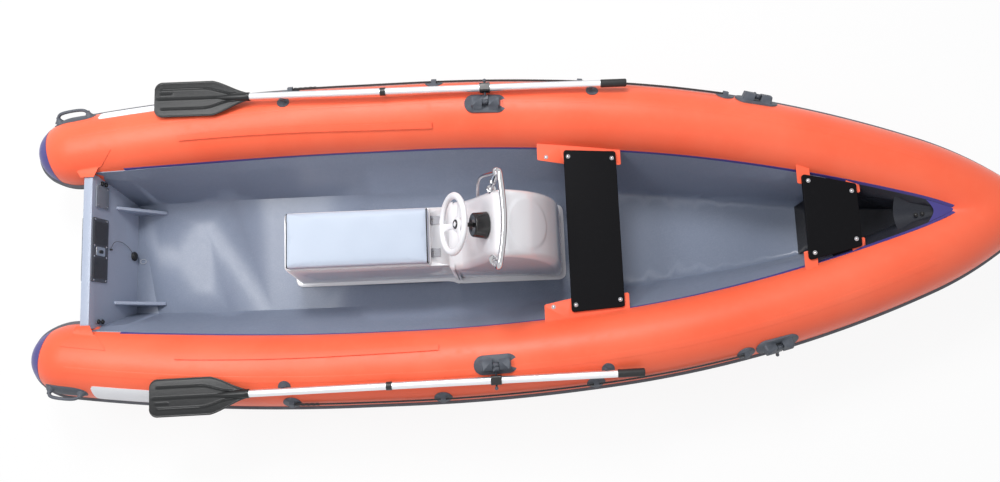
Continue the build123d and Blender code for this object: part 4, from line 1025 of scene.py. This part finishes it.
def wheelMesh():
    middle = Vector(wheel["middle"])
    thick, squash, inside = wheel["rim"], wheel["squash"], wheel["spokeFrom"]
    around = wheel["radius"] - thick
    rings = []
    for i in range(72):
        a = 2 * pi * i / 72
        out = Vector((0, 1, 0)) * cos(a) + wheelUp * sin(a)
        rings.append([middle + out * (around + thick * cos(b)) + wheelAxis * squash * thick * sin(b)
                      for b in (2 * pi * j / 20 for j in range(20))])
    rim = outwards(meshOf("rim", *ringSkin(rings + rings[:1])))
    parts = [rim]
    for turn in wheel["spokes"]:
        out = Vector((0, 1, 0)) * cos(radians(turn)) - wheelUp * sin(radians(turn))
        over = out.cross(wheelAxis)
        spoke = []
        for i in range(13):
            t = i / 12
            place = middle + out * (inside + (around - inside + 0.002) * t) - wheelAxis * wheel["dish"] * (1 - t * t)
            wide = wheel["spokeWidth"] / 2 * (1.25 - 0.45 * sin(pi * t) + 0.15 * t)
            spoke.append([place + over * wide * cos(b) + wheelAxis * wheel["spokeThick"] / 2 * sin(b)
                          for b in (2 * pi * j / 16 for j in range(16))])
        parts.append(outwards(meshOf("spoke", *ringSkin(spoke, capped=(True, True)))))
    start = middle - wheelAxis * wheel["bossBack"]
    parts.append(outwards(meshOf("boss", *turnedRings(wheel["boss"], start, wheelAxis, Vector((0, 1, 0)),
                                                      40))))
    return joined(parts, "steeringWheel")


keep("steeringWheel", wheelMesh(), "steering", "wheel", ("steering_wheel",), 40)
hubStart = Vector(wheel["middle"]) - wheelAxis * wheel["capBack"]
hubRing = meshOf("hubRing", *turnedRings(wheel["ring"], hubStart, wheelAxis, Vector((0, 1, 0)), 36))
hubEye = meshOf("hubEye", *turnedRings(wheel["eye"], hubStart, wheelAxis, Vector((0, 1, 0)), 28))
keep("hubRing", outwards(hubRing), "steering", "blackGloss", ("wheel_cap",), 30)
keep("hubEye", outwards(hubEye), "steering", "wheel", (), 30)

# the console's hood: one smooth moulding over the side profile, its sides leaning in
hood = {"profile": ((1.8705, 0.0690), (1.8705, 0.30), (1.8705, 0.470), (1.915, 0.492), (1.952, 0.520),
                    (2.020, 0.662),
                    (2.092, 0.812), (2.122, 0.842), (2.172, 0.847), (2.225, 0.812), (2.295, 0.750),
                    (2.360, 0.650),
                    (2.405, 0.540), (2.432, 0.440), (2.452, 0.270), (2.4685, 0.100), (2.4695, 0.0690)),
        "low": (0.0605, 0.195), "high": (0.888, 0.159), "edge": 0.040, "dome": (2.265, 0.098, 0.128, 0.0045),
        "rounds": 4, "across": 24, "edgeSteps": 8, "seatEnd": 1.896, "flangeZ": (0.0607, 0.0692),
        "flangeCorner": 0.045,
        "flange": ((0.986, 0.196), (1.850, 0.196), (1.890, 0.212), (2.490, 0.212))}


def cutCorners(points, rounds):
    for _ in range(rounds):
        fine = [points[0]]
        for a, b in zip(points, points[1:]):
            fine += [a.lerp(b, 0.25), a.lerp(b, 0.75)]
        points = fine + [points[-1]]
    return points


def hoodHalf(z):
    (z0, h0), (z1, h1) = hood["low"], hood["high"]
    return h0 + (h1 - h0) * (z - z0) / (z1 - z0)


def hoodMesh():
    line = cutCorners([Vector((x, 0, z)) for x, z in hood["profile"]], hood["rounds"])
    r = hood["edge"]
    rings = []
    for i, place in enumerate(line):
        ahead = (line[min(i + 1, len(line) - 1)] - line[max(i - 1, 0)]).normalized()
        out = Vector((-ahead.z, 0, ahead.x))
        half = hoodHalf(place.z)
        ring = []
        for j in range(hood["across"] + 1):
            y = (half - r) * (2 * j / hood["across"] - 1)
            x0, reachX, reachY, rise = hood["dome"]
            apart = sqrt(((place.x - x0) / reachX) ** 2 + (y / reachY) ** 2) if place.z > 0.6 else 2.0
            lift = rise * (1 - eased(apart, 0.90, 1.02))
            ring.append(place + out * lift + Vector((0, y, 0)))
        for k in range(1, hood["edgeSteps"] + 1):
            a = radians(90 * k / hood["edgeSteps"])
            ring.append(place - out * r * (1 - cos(a)) + Vector((0, half - r + r * sin(a), 0)))
            ring.insert(0, place - out * r * (1 - cos(a)) - Vector((0, half - r + r * sin(a), 0)))
        rings.append(ring)
    points, faces = ringSkin(rings, closed=False)
    mesh = meshOf("hood", points, faces)
    work = bmesh.new()
    work.from_mesh(mesh)
    bmesh.ops.remove_doubles(work, verts=work.verts, dist=0.00005)
    edges = [e for e in work.edges if e.is_boundary]
    for s in (1, -1):
        rim = [e for e in edges if all(v.co.y * s > hoodHalf(v.co.z) - 0.012 for v in e.verts)]
        bmesh.ops.contextual_create(work, geom=rim)
    bmesh.ops.recalc_face_normals(work, faces=work.faces)
    if sum(f.normal.z * f.calc_area() for f in work.faces if f.calc_center_median().z > 0.7) < 0:
        bmesh.ops.reverse_faces(work, faces=work.faces)
    work.to_mesh(mesh)
    work.free()
    return mesh


def softSlab(outline, z0, z1, edge, name):  # a plate with this outline, its top edge eased
    work = bmesh.new()
    low = [work.verts.new((x, y, z0)) for x, y in outline]
    face = work.faces.new(low)
    if face.normal.z > 0:
        face.normal_flip()
    grown = bmesh.ops.extrude_face_region(work, geom=[face])
    for v in grown["geom"]:
        if isinstance(v, bmesh.types.BMVert):
            v.co.z = z1
    tops = [e for e in work.edges if all(abs(v.co.z - z1) < 1e-6 for v in e.verts)]
    if edge:
        bmesh.ops.bevel(work, geom=tops, offset=edge, segments=4, affect="EDGES", profile=0.5)
    bmesh.ops.recalc_face_normals(work, faces=work.faces)
    mesh = bpy.data.meshes.new(name)
    work.to_mesh(mesh)
    work.free()
    return mesh


def cut(mesh, place, normal):  # keeps what lies behind the plane
    work = bmesh.new()
    work.from_mesh(mesh)
    bmesh.ops.remove_doubles(work, verts=work.verts, dist=0.00002)
    bmesh.ops.bisect_plane(work, geom=work.verts[:] + work.edges[:] + work.faces[:], plane_co=place,
                           plane_no=normal, clear_outer=True, dist=0.00001)
    work.to_mesh(mesh)
    work.free()
    return mesh


def rounded(corners, r, steps=6):  # an outline with its corners rounded
    path = []
    for i, corner in enumerate(corners):
        before, after = Vector(corners[i - 1]), Vector(corners[(i + 1) % len(corners)])
        here = Vector(corner)
        a = here + (before - here).normalized() * min(r, (before - here).length * 0.49)
        b = here + (after - here).normalized() * min(r, (after - here).length * 0.49)
        for k in range(steps + 1):
            t = k / steps
            path.append(tuple((1 - t) ** 2 * a + 2 * t * (1 - t) * here + t * t * b))
    return path


flange = list(hood["flange"]) + [(x, -y) for x, y in reversed(hood["flange"])]
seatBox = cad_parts["console"].data.copy()
keep("seatBox", cut(seatBox, (hood["seatEnd"], 0, 0), (1, 0, 0)), hull, "console",
     ("console",), 32)
keep("consoleHood", hoodMesh(), hull, "console", (), 50)
keep("consoleFlange", softSlab(rounded(flange, hood["flangeCorner"]), *hood["flangeZ"], 0.004,
                               "consoleFlange"), hull,
     "console", (), 40)
print("console made")

# rail: one smooth hoop on two posts, and the bent leg on the port side
rail = {"line": ((2.1085, 0.186, 0.842), (2.126, 0.216, 0.915), (2.139, 0.226, 0.956), (2.143, 0.196, 0.9625),
                 (2.152, 0.110, 0.9625), (2.157, 0.0, 0.9625), (2.147, -0.110, 0.9625),
                 (2.130, -0.196, 0.9625),
                 (2.123, -0.226, 0.956), (2.113, -0.212, 0.912), (2.106, -0.186, 0.842)), "radius": 0.0142,
        "feet": (((2.099, 0.163, 0.775), (2.1090, 0.188, 0.850)),
                 ((2.099, -0.163, 0.775), (2.1065, -0.188, 0.850))),
        "leg": ((2.128, 0.214, 0.940), (2.092, 0.224, 0.862), (2.048, 0.236, 0.760), (2.034, 0.214, 0.700),
                (2.029, 0.182, 0.600), (2.028, 0.176, 0.560))}


def railMesh():
    parts = [bentTube("hoop", rail["line"], rail["radius"], sides=7, order=4)]
    for foot, neck in rail["feet"]:
        start, end = Vector(foot), Vector(neck)
        along = end - start
        far = along.length
        profile = [(0.010, 0.024), (0.013, 0.0245), (0.016, 0.023), (0.0175, 0.012), (0.020, 0.0098),
                   (far, 0.0098),
                   (far + 0.001, 0.0165), (far + 0.016, 0.0165)]
        parts.append(outwards(meshOf("post", *turnedRings(profile, start, along, Vector((1, 0, 0)), 28))))
    return joined(parts, "consoleRail")


def legMesh():
    foot = Vector((2.028, 0.1655, 0.550))
    leg = bentTube("leg", rail["leg"], 0.0082, sides=5, order=3)
    shoe = [(0.0, 0.0220), (0.004, 0.0220), (0.0065, 0.0205), (0.009, 0.013), (0.013, 0.0105)]
    clamp = [(0.0, 0.0170), (0.002, 0.0185), (0.024, 0.0185), (0.026, 0.0170)]
    parts = [leg, outwards(meshOf("shoe", *turnedRings(shoe, foot, Vector((0, 1, 0)), Vector((1, 0, 0)),
                                                       28)))]
    parts.append(outwards(meshOf("clamp", *turnedRings(clamp, Vector((2.1275, 0.2150, 0.926)),
                                                       Vector((0.11, 0.10, 1.0)), Vector((1, 0, 0)), 28))))
    return joined(parts, "railLeg")


keep("consoleRail", railMesh(), hull, "chrome", ("console_rail",), 40)
keep("railLeg", legMesh(), hull, "chrome", ("rail_leg",), 40)

# the seat's cushion: swelled by the cloth solver from a smaller block, with black piping at both ends
pad = {"x": (1.041, 1.778), "half": 0.148, "z": (0.4803, 0.5303), "inset": 0.003, "voxel": 0.006,
       "cap": 0.0060,
       "pressure": 4.0, "piping": 0.0032, "pipingIn": 0.0145, "pipingKnots": 80,
       "crown": 0.0045, "wrinkle": 0.0011}


def cushionMesh():
    (x0, x1), half, (z0, z1) = pad["x"], pad["half"], pad["z"]
    i = pad["inset"]
    outline = rounded([(x0 + i, half - i), (x1 - i, half - i), (x1 - i, -half + i), (x0 + i, -half + i)],
                      0.020)
    block = bpy.data.objects.new("cushion", softSlab(outline, z0 + 0.002, z1 - 0.002, 0.009, "cushion"))
    bpy.context.collection.objects.link(block)
    remesh = block.modifiers.new("remesh", "REMESH")
    remesh.mode, remesh.voxel_size = "VOXEL", pad["voxel"]
    settled(block)
    rest = [v.co.copy() for v in block.data.vertices]
    cloth = block.modifiers.new("cloth", "CLOTH")
    cloth.settings.use_pressure = True
    cloth.settings.uniform_pressure_force = pad["pressure"]
    cloth.settings.effector_weights.gravity = 0
    for now in range(1, 21):
        bpy.context.scene.frame_set(now)
    settled(block)
    bpy.context.scene.frame_set(1)
    for v, was in zip(block.data.vertices, rest):
        step = v.co - was
        crown = (1 - ((was.x - (x0 + x1) / 2) / ((x1 - x0) / 2)) ** 4) * (1 - (was.y / half) ** 4)
        if step.length > pad["cap"]:
            step *= pad["cap"] / step.length
        v.co = was + step
        if was.z > (z0 + z1) / 2:
            v.co.z += pad["crown"] * max(0.0, crown)
            v.co.z += pad["wrinkle"] * sin(31 * was.x + 9 * was.y) * sin(23 * was.y + 4)
        v.co.z = max(v.co.z, z0)
    soft = block.modifiers.new("soft", "SUBSURF")
    soft.levels = soft.render_levels = 1
    settled(block)
    mesh = block.data.copy()
    bpy.data.objects.remove(block)
    return mesh


cushion = keep("seatCushion", cushionMesh(), "seat_lid", "seat", ("seat_cushion",), 80)


def pipingMesh():  # round the end faces, just outside the cushion's own skin
    skin = cushion.data
    shape = BVHTree.FromPolygons([v.co for v in skin.vertices], [face.vertices[:] for face in skin.polygons])
    loops = []
    for x in (pad["x"][0] + pad["pipingIn"], pad["x"][1] - pad["pipingIn"]):
        middle = Vector((x, 0, (pad["z"][0] + pad["z"][1]) / 2))
        line = []
        for j in range(pad["pipingKnots"]):
            a = 2 * pi * j / pad["pipingKnots"]
            toward = Vector((0, 5 * cos(a), sin(a))).normalized()
            hit = shape.ray_cast(middle, toward)[0]
            if hit:
                line.append(hit + toward * 0.0006)
        loops.append(bentTube("piping", line, pad["piping"], closed=True, sides=3, steps=2))
    return joined(loops, "cushionPiping")


keep("cushionPiping", pipingMesh(), "seat_lid", "blackRubber", (), 40)
print("cushion made")

# fittings on the transom's inner face, placed by side, height and distance off it
transomOut = (transomPoint(0, 0.4, 1) - transomPoint(0, 0.4, 0)).normalized()
motorPad = {"y": (-0.156, 0.174), "z": (0.349, 0.482), "off": 0.0062, "plateY": (-0.021, 0.025), "ribs": 17,
            "rib": (0.0022, 0.0034, 0.024), "edge": 0.016, "screwIn": 0.008,
            "squareY": (0.244, 0.336), "squareZ": (0.368, 0.448), "nutY": 0.360, "nutZ": (0.384, 0.418)}


def tile(y0, y1, z0, z1, off0, off1, edge, name="tile"):
    outline = rounded([(y0, z0), (y1, z0), (y1, z1), (y0, z1)], min(0.007, (z1 - z0) * 0.3), 4)
    mesh = softSlab(outline, off0, off1, edge, name)
    for v in mesh.vertices:
        v.co = transomPoint(v.co.x, v.co.y, v.co.z)
    return outwards(mesh)


def ribTree():  # short bars, one on each point
    grow = Grower("padRibs", [("Size", "Vector", (0.002, 0.002, 0.1)), ("Turn", "Vector", (0.0, 0.0, 0.0))])
    bar = grow.node("GeometryNodeMeshCube", None, {"Size": grow.given("Size")})
    turn = grow.node("FunctionNodeEulerToRotation", None, {0: grow.given("Turn")})
    points = grow.node("GeometryNodeMeshToPoints", None, {"Mesh": grow.given("Geometry")})
    spread = grow.node("GeometryNodeInstanceOnPoints", None,
                       {"Points": points, "Instance": bar, "Rotation": turn})
    return grow.ends(spread, "padDark")


def motorPadTrim():
    (y0, y1), (z0, z1), off = motorPad["y"], motorPad["z"], motorPad["off"]
    a, b = motorPad["plateY"]
    fields, hosts = [], []
    edge, screwIn = motorPad["edge"], motorPad["screwIn"]
    for low, high in ((y0 + edge, a - 0.010), (b + 0.010, y1 - edge)):
        fields.append(tile(low, high, z0 + screwIn, z1 - screwIn, off - 0.002, off + 0.0008, 0.0004))
        step = (high - low - 0.012) / (motorPad["ribs"] - 1)
        hosts += [transomPoint(low + 0.006 + step * k, (z0 + z1) / 2,
                               off + 0.0014) for k in range(motorPad["ribs"])]
    thick, wide, trim = motorPad["rib"]
    ribs = grown(ribTree(), meshOf("ribs", hosts, []), "padRibs", Size=(thick, wide, z1 - z0 - trim),
                 Turn=(0.0, -transom["rake"], 0.0))
    keep("motorPadFields", joined(fields, "motorPadFields"), hull, "padDark", (), 30)
    keep("motorPadRibs", ribs, hull, None, (), 30)
    keep("motorPadPlate", tile(a, b, z0 + 0.030, z1 - 0.030, off - 0.002, off + 0.0030, 0.0010), hull,
         "steel", (), 30)
    keep("motorPadCatch", tile(a + 0.012, b - 0.016, z0 + 0.052, z1 - 0.056, off + 0.0010, off + 0.0090,
                               0.0015), hull,
         "blackPlastic", (), 30)
    heads = [(transomPoint(y, z, off + 0.0004), transomOut) for z in (z0 + edge, z1 - edge)
             for y in (y0 + screwIn, a - 0.005, b + 0.005, y1 - screwIn)]
    heads += [(transomPoint(y, z, 0.0084), transomOut) for y in motorPad["squareY"] for z in motorPad["squareZ"]]
    screws("transomScrews", heads, "chrome", 0.0038, 0.0058, 0.0022)
    nuts = [(transomPoint(s * motorPad["nutY"], z, 0.009), transomOut) for s in (1,
                                                                                -1) for z in motorPad["nutZ"]]
    screws("eyeNutCaps", nuts, "blackPlastic", 0.0115, 0.0130, 0.0085)


motorPadTrim()
drain = {"rim": ((0.0, 0.0255), (0.004, 0.0262), (0.007, 0.0245), (0.0085, 0.0205), (0.0070, 0.0185)),
         "off": 0.0035, "loopAt": (0.118, -0.004, 0.0635), "wire": 0.0013}
ringAt = transomPoint(*lanyard["bungAt"], drain["off"])
bungRim = meshOf("bungRim", *turnedRings(drain["rim"], ringAt, transomOut, Vector((0, 1, 0)), 36))
keep("bungRim", outwards(bungRim), hull, "blackPlastic", (), 30)
loopAt = Vector(drain["loopAt"])
loop = [loopAt + Vector((0.017 * cos(a) + 0.006, 0.013 * sin(a) - 0.010, 0.0008)) for a in (2 * pi * k / 12
                                                                                     for k in range(12))]
keep("bungLoop", bentTube("bungLoop", loop, drain["wire"], closed=True), hull, "clear", (),
     40)
print("transom dressed")


# lifelines: three twisted strands along the rope's line, wrapped near the stern
def ropeTree():
    grow = Grower("twistedRope", [("Radius", "Float", 0.005), ("Lay", "Float", 0.022)])
    even = grow.node("GeometryNodeResampleCurve", {"mode": "LENGTH"}, {"Curve": grow.given("Geometry"),
                                                                       "Length": 0.0045})
    side = grow.node("GeometryNodeInputNormal")
    along = grow.node("GeometryNodeInputTangent")
    other = grow.vector("CROSS_PRODUCT", along, side)
    gone = grow.node("GeometryNodeSplineParameter", output=1)
    both = None
    for k in range(3):
        turn = gone / grow.given("Lay") * (2 * pi) + 2 * pi * k / 3
        reach = grow.given("Radius") * 0.52
        right = grow.node("ShaderNodeVectorMath", {"operation": "SCALE"},
                          {0: side, "Scale": turn.maths("COSINE", turn) * reach})
        over = grow.node("ShaderNodeVectorMath", {"operation": "SCALE"},
                         {0: other, "Scale": turn.wave() * reach})
        offset = grow.vector("ADD", right, over)
        strand = grow.node("GeometryNodeSetPosition", None, {"Geometry": even, "Offset": offset})
        round = grow.node("GeometryNodeCurvePrimitiveCircle", None, {"Resolution": 7,
                                                                     "Radius": grow.given("Radius") * 0.56})
        tube = grow.node("GeometryNodeCurveToMesh", None, {"Curve": strand, "Profile Curve": round,
                                                           "Fill Caps": True})
        if both:
            grow.tree.links.new(tube.socket, both.socket.node.inputs[0])
        else:
            both = grow.node("GeometryNodeJoinGeometry", None, {0: tube})
    return grow.ends(both, "rope")


lifeline = {"x": (1.067, 1.25, 1.44, 1.63, 1.815, 2.0, 2.19, 2.38, 2.56, 2.74, 2.92, 3.1, 3.277),
            "angle": 150.0,
            "lift": 0.011, "radius": 0.005, "lay": 0.024, "wrapTo": 1.20}
ropes = ropeTree()


def lineCurve(name, points):
    curve = bpy.data.curves.new(name, "CURVE")
    curve.dimensions, curve.resolution_u = "3D", 16
    spline = curve.splines.new("NURBS")
    spline.points.add(len(points) - 1)
    for knot, point in zip(spline.points, points):
        knot.co = (*point, 1.0)
    spline.order_u = 3
    spline.use_endpoint_u = True
    return curve


for side, sign in sides.items():
    line = [onTube(x, lifeline["angle"], lifeline["lift"]) for x in lifeline["x"]]
    wrap = [onTube(x, lifeline["angle"], lifeline["lift"]) for x in (1.085, 1.12, 1.16, lifeline["wrapTo"])]
    rope = grown(ropes, lineCurve("rope", line), "rope", Radius=lifeline["radius"], Lay=lifeline["lay"])
    lash = grown(ropes, lineCurve("lash", wrap), "lash", Radius=lifeline["radius"] * 1.5, Lay=0.017)
    mesh = joined([rope, lash], "lifeline")
    keep("lifeline." + side, mesh if sign > 0 else mirrored(mesh), hull, "rope",
         ("lifeline_" + side,), 60)
print("lifelines made")


# a CAD solid's own shape, merged and smoothed, its sharp edges eased
def fromSolid(node, name, body, paint, edge=0.0, angle=32, flat=True):
    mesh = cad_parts[node].data.copy()
    mesh.name = name
    work = bmesh.new()
    work.from_mesh(mesh)
    bmesh.ops.remove_doubles(work, verts=work.verts, dist=0.00002)
    if edge and flat:
        bmesh.ops.dissolve_limit(work, angle_limit=radians(1.0), verts=work.verts, edges=work.edges)
    work.to_mesh(mesh)
    work.free()
    if mesh.has_custom_normals:
        mesh.free_normals_split() if hasattr(mesh, "free_normals_split") else None
    piece = keep(name, mesh, body, paint, (node,), angle)
    if edge:
        ease = piece.modifiers.new("ease", "BEVEL")
        ease.width, ease.segments, ease.limit_method, ease.angle_limit = edge, 3, "ANGLE", radians(30)
        ease.harden_normals = False
        settled(piece)
        smoothed(piece.data, angle)
    return piece


carried = [
    ("hull", "hullShell", hull, "gelcoat_grey", "hull", 0.004),
    ("transom", "transomBoard", hull, "transom_grey", "transom", 0.004),
    ("transom_knees", "transomKnees", hull, "transom_grey", "transom", 0.004),
    ("thwart_flaps", "thwartFlaps", hull, "tube_orange", "patch", 0.0),
    ("lid_board", "lidBoard", "seat_lid", "console_white", "console", 0.0),
    ("lid_hinge_leaves", "lidHingeLeaves", "seat_lid", "hinge_steel", "hinge", 0.0),
    ("lid_hinge_bases", "lidHingeBases", hull, "hinge_steel", "hinge", 0.0),
    ("steering_shaft", "steeringShaft", "steering", "black_plastic", "blackPlastic", 0.0),
    ("helm_bezel", "helmBezel", hull, "black_gloss", "blackGloss", 0.0),
    ("thwart_aft", "thwartAft", hull, "black_board", "board", 0.0),
    ("thwart_fore", "thwartFore", hull, "black_board", "board", 0.0),
    ("motor_pads", "motorPads", hull, "pad_grey", "greyRubber", 0.0015),
    ("transom_plate", "transomPlate", hull, "plate_grey", "plate", 0.0015),
    ("transom_eye_bolts", "transomEyeBolts", hull, "bolt_steel", "steel", 0.0),
    ("bow_eye", "bowEye", hull, "bolt_steel", "steel", 0.0),
    ("drain_socket", "drainSocket", hull, "black_plastic", "blackPlastic", 0.0),
    ("drain_bung", "drainBung", hull, "black_rubber", "blackRubber", 0.0),
    ("lanyard_eye", "lanyardEye", hull, "black_plastic", "blackPlastic", 0.0),
]
for side in sides:
    rower = "oar_" + side
    carried += [
        ("oarlock_base_aft_" + side, "oarlockAft." + side, hull, "rubber_grey", "greyRubber", 0.0),
        ("oarlock_base_fore_" + side, "oarlockFore." + side, hull, "rubber_grey", "greyRubber", 0.0),
        ("oar_swivel_aft_" + side, "swivelAft." + side, rower, "fitting_grey", "fitting", 0.0),
        ("oar_swivel_fore_" + side, "swivelFore." + side, "oar_pin_" + side, "fitting_grey", "fitting", 0.0),
        ("oar_shaft_" + side, "oarShaft." + side, rower, "oar_aluminium", "aluminium", 0.0),
        ("oar_grip_" + side, "oarGrip." + side, rower, "black_rubber", "blackRubber", 0.0),
        ("oar_sleeve_" + side, "oarSleeve." + side, rower, "black_plastic", "blackPlastic", 0.0),
        ("oar_clips_" + side, "oarClips." + side, hull, "rubber_grey", "greyRubber", 0.0),
        ("lifeline_eyelets_" + side, "lifelineEyelets." + side, hull, "rubber_grey", "greyRubber", 0.0),
    ]
for node, name, body, slot, paint, edge in carried:
    fromSolid(node, name, body, paint, edge)
print("carried solids dressed")

# the bow well starts under the forward thwart; forward of it the liner takes the near-black painted shade
shadedWell = {"from": 3.77, "to": 4.36, "under": -40.0, "lift": 0.003, "end": (4.14, 4.33), "point": (4.31, 4.405),
        "nuts": ((4.178, -0.014), (4.208, -0.010))}
for name, paint, facing in (("linerAft", "deck", 1), ("linerFore", "shadedWell", -1)):
    part = cut(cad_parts["liner"].data.copy(), (shadedWell["from"], 0, 0), (facing, 0, 0))
    keep(name, part, hull, paint, ("liner",) if facing > 0 else (), 30)

def shadeSheetMesh():  # a near-black sheet over the tubes' inner sides in the well, painted shade like the moulding below
    rings = []
    for i in range(25):
        x = shadedWell["from"] - 0.01 + (shadedWell["to"] - shadedWell["from"] + 0.01) * i / 24
        top = innerAngle(x) - 1.5
        ring = [onTube(x, top + (shadedWell["under"] - top) * j / 16, shadedWell["lift"]) for j in range(17)]
        rings.append([Vector((p.x, max(p.y, 0.0005), p.z)) for p in ring])
    return meshOf("bowShadeSheet", *ringSkin(rings, closed=False))


shadeSheet = shadeSheetMesh()
keep("bowShadeSheet.port", shadeSheet, hull, "shadedWell", (), 60)
keep("bowShadeSheet.stb", mirrored(shadeSheet), hull, "shadedWell", (), 60)

def webMesh(x0, x1, sag, lift, curve=0.0):  # closes the point between the two joint strips
    rings = []
    for i in range(13):
        ring = []
        for j in range(13):
            k = 1 - j / 6
            x = x0 - curve * k * k + (x1 - x0 + curve * k * k) * i / 12
            rim = onTube(x, innerAngle(x), lift)
            ring.append(Vector((rim.x, rim.y * k, rim.z - sag * rim.y * (1 - k * k))))
        rings.append(ring)
    return outwards(meshOf("web", *ringSkin(rings, closed=False)))


# painted shade: a near-black sheet across the well's forward end
keep("bowWellEndShade", webMesh(*shadedWell["end"], 0.45, 0.0020), hull, "shadedWell", (), 60)
keep("bowPoint", webMesh(*shadedWell["point"], 0.0, 0.0035, 0.030), hull, "navy", (), 60)
wellEnd = [(Vector((x, y, onTube(x, innerAngle(x)).z - 0.010)), up) for x, y in shadedWell["nuts"]]
screws("bowNutCaps", wellEnd, "blackPlastic", 0.0085, 0.0100, 0.0070)

studio = {"key": {"at": (1.2, 3.6, 6.2), "aim": (2.2, 0.0, 0.3), "size": (1.8, 1.8), "power": 250},
          "stern": {"at": (-1.30, 0.95, 5.4), "aim": (0.8, 0.1, 0.1), "size": (2.9, 1.8), "power": 150},
          "fill": {"at": (4.8, -4.0, 6.5), "aim": (2.3, 0.0, 0.3), "size": (4.0, 3.0), "power": 30},
          "sky": 0.46, "floorGlow": 0.90}


def addLamp(name, spec):
    data = bpy.data.lights.new(name, "AREA")
    data.shape, data.energy = "RECTANGLE", spec["power"]
    data.size, data.size_y = spec["size"]
    lamp = bpy.data.objects.new(name, data)
    bpy.context.collection.objects.link(lamp)
    lamp.location = spec["at"]
    toward = Vector(spec["aim"]) - Vector(spec["at"])
    lamp.rotation_euler = toward.to_track_quat("-Z", "Y").to_euler()


addLamp("keyLamp", studio["key"])
addLamp("sternLamp", studio["stern"])
addLamp("fillLamp", studio["fill"])


def seenDirectly(web):
    path = web.node("ShaderNodeLightPath")
    outs = path.socket.node.outputs
    rays = Wire(web, outs["Is Camera Ray"]) + Wire(web, outs["Is Glossy Ray"]) + Wire(web,
                                                                                  outs["Is Transmission Ray"])
    return web.node("ShaderNodeClamp", None, {"Value": rays})


def addWorld():
    world = bpy.data.worlds.new("studio")
    bpy.context.scene.world = world
    world.use_nodes = True
    web = Web(world.node_tree)
    web.tree.nodes.clear()
    plain = web.node("ShaderNodeBackground", None, {"Color": rgb(0.93, 0.95, 1.0), "Strength": studio["sky"]})
    white = web.node("ShaderNodeBackground", None, {"Color": rgb(1, 1, 1), "Strength": 1.0})
    both = web.node("ShaderNodeMixShader", None, {0: seenDirectly(web), 1: plain, 2: white})
    web.node("ShaderNodeOutputWorld", None, {"Surface": both})


def addFloor():
    paint = Paint("floorWhite")
    cast = paint.node("ShaderNodeBsdfDiffuse", None, {"Color": rgb(0.9, 0.9, 0.9)})
    glow = paint.node("ShaderNodeEmission", None, {"Color": rgb(1, 1, 1), "Strength": 1.0})
    both = paint.node("ShaderNodeMixShader", None, {0: seenDirectly(paint) * studio["floorGlow"], 1: cast,
                                                    2: glow})
    paint.node("ShaderNodeOutputMaterial", None, {"Surface": both})
    reach = 14.0
    mesh = meshOf("floor", [(-reach, -reach, 0), (reach, -reach, 0), (reach, reach, 0), (-reach, reach, 0)],
                  [(0, 1, 2, 3)])
    mesh.materials.append(paint.material)
    floor = bpy.data.objects.new("floor", mesh)
    bpy.context.collection.objects.link(floor)


addWorld()
addFloor()
bpy.context.scene.view_settings.view_transform = "Standard"
print("scene ready")
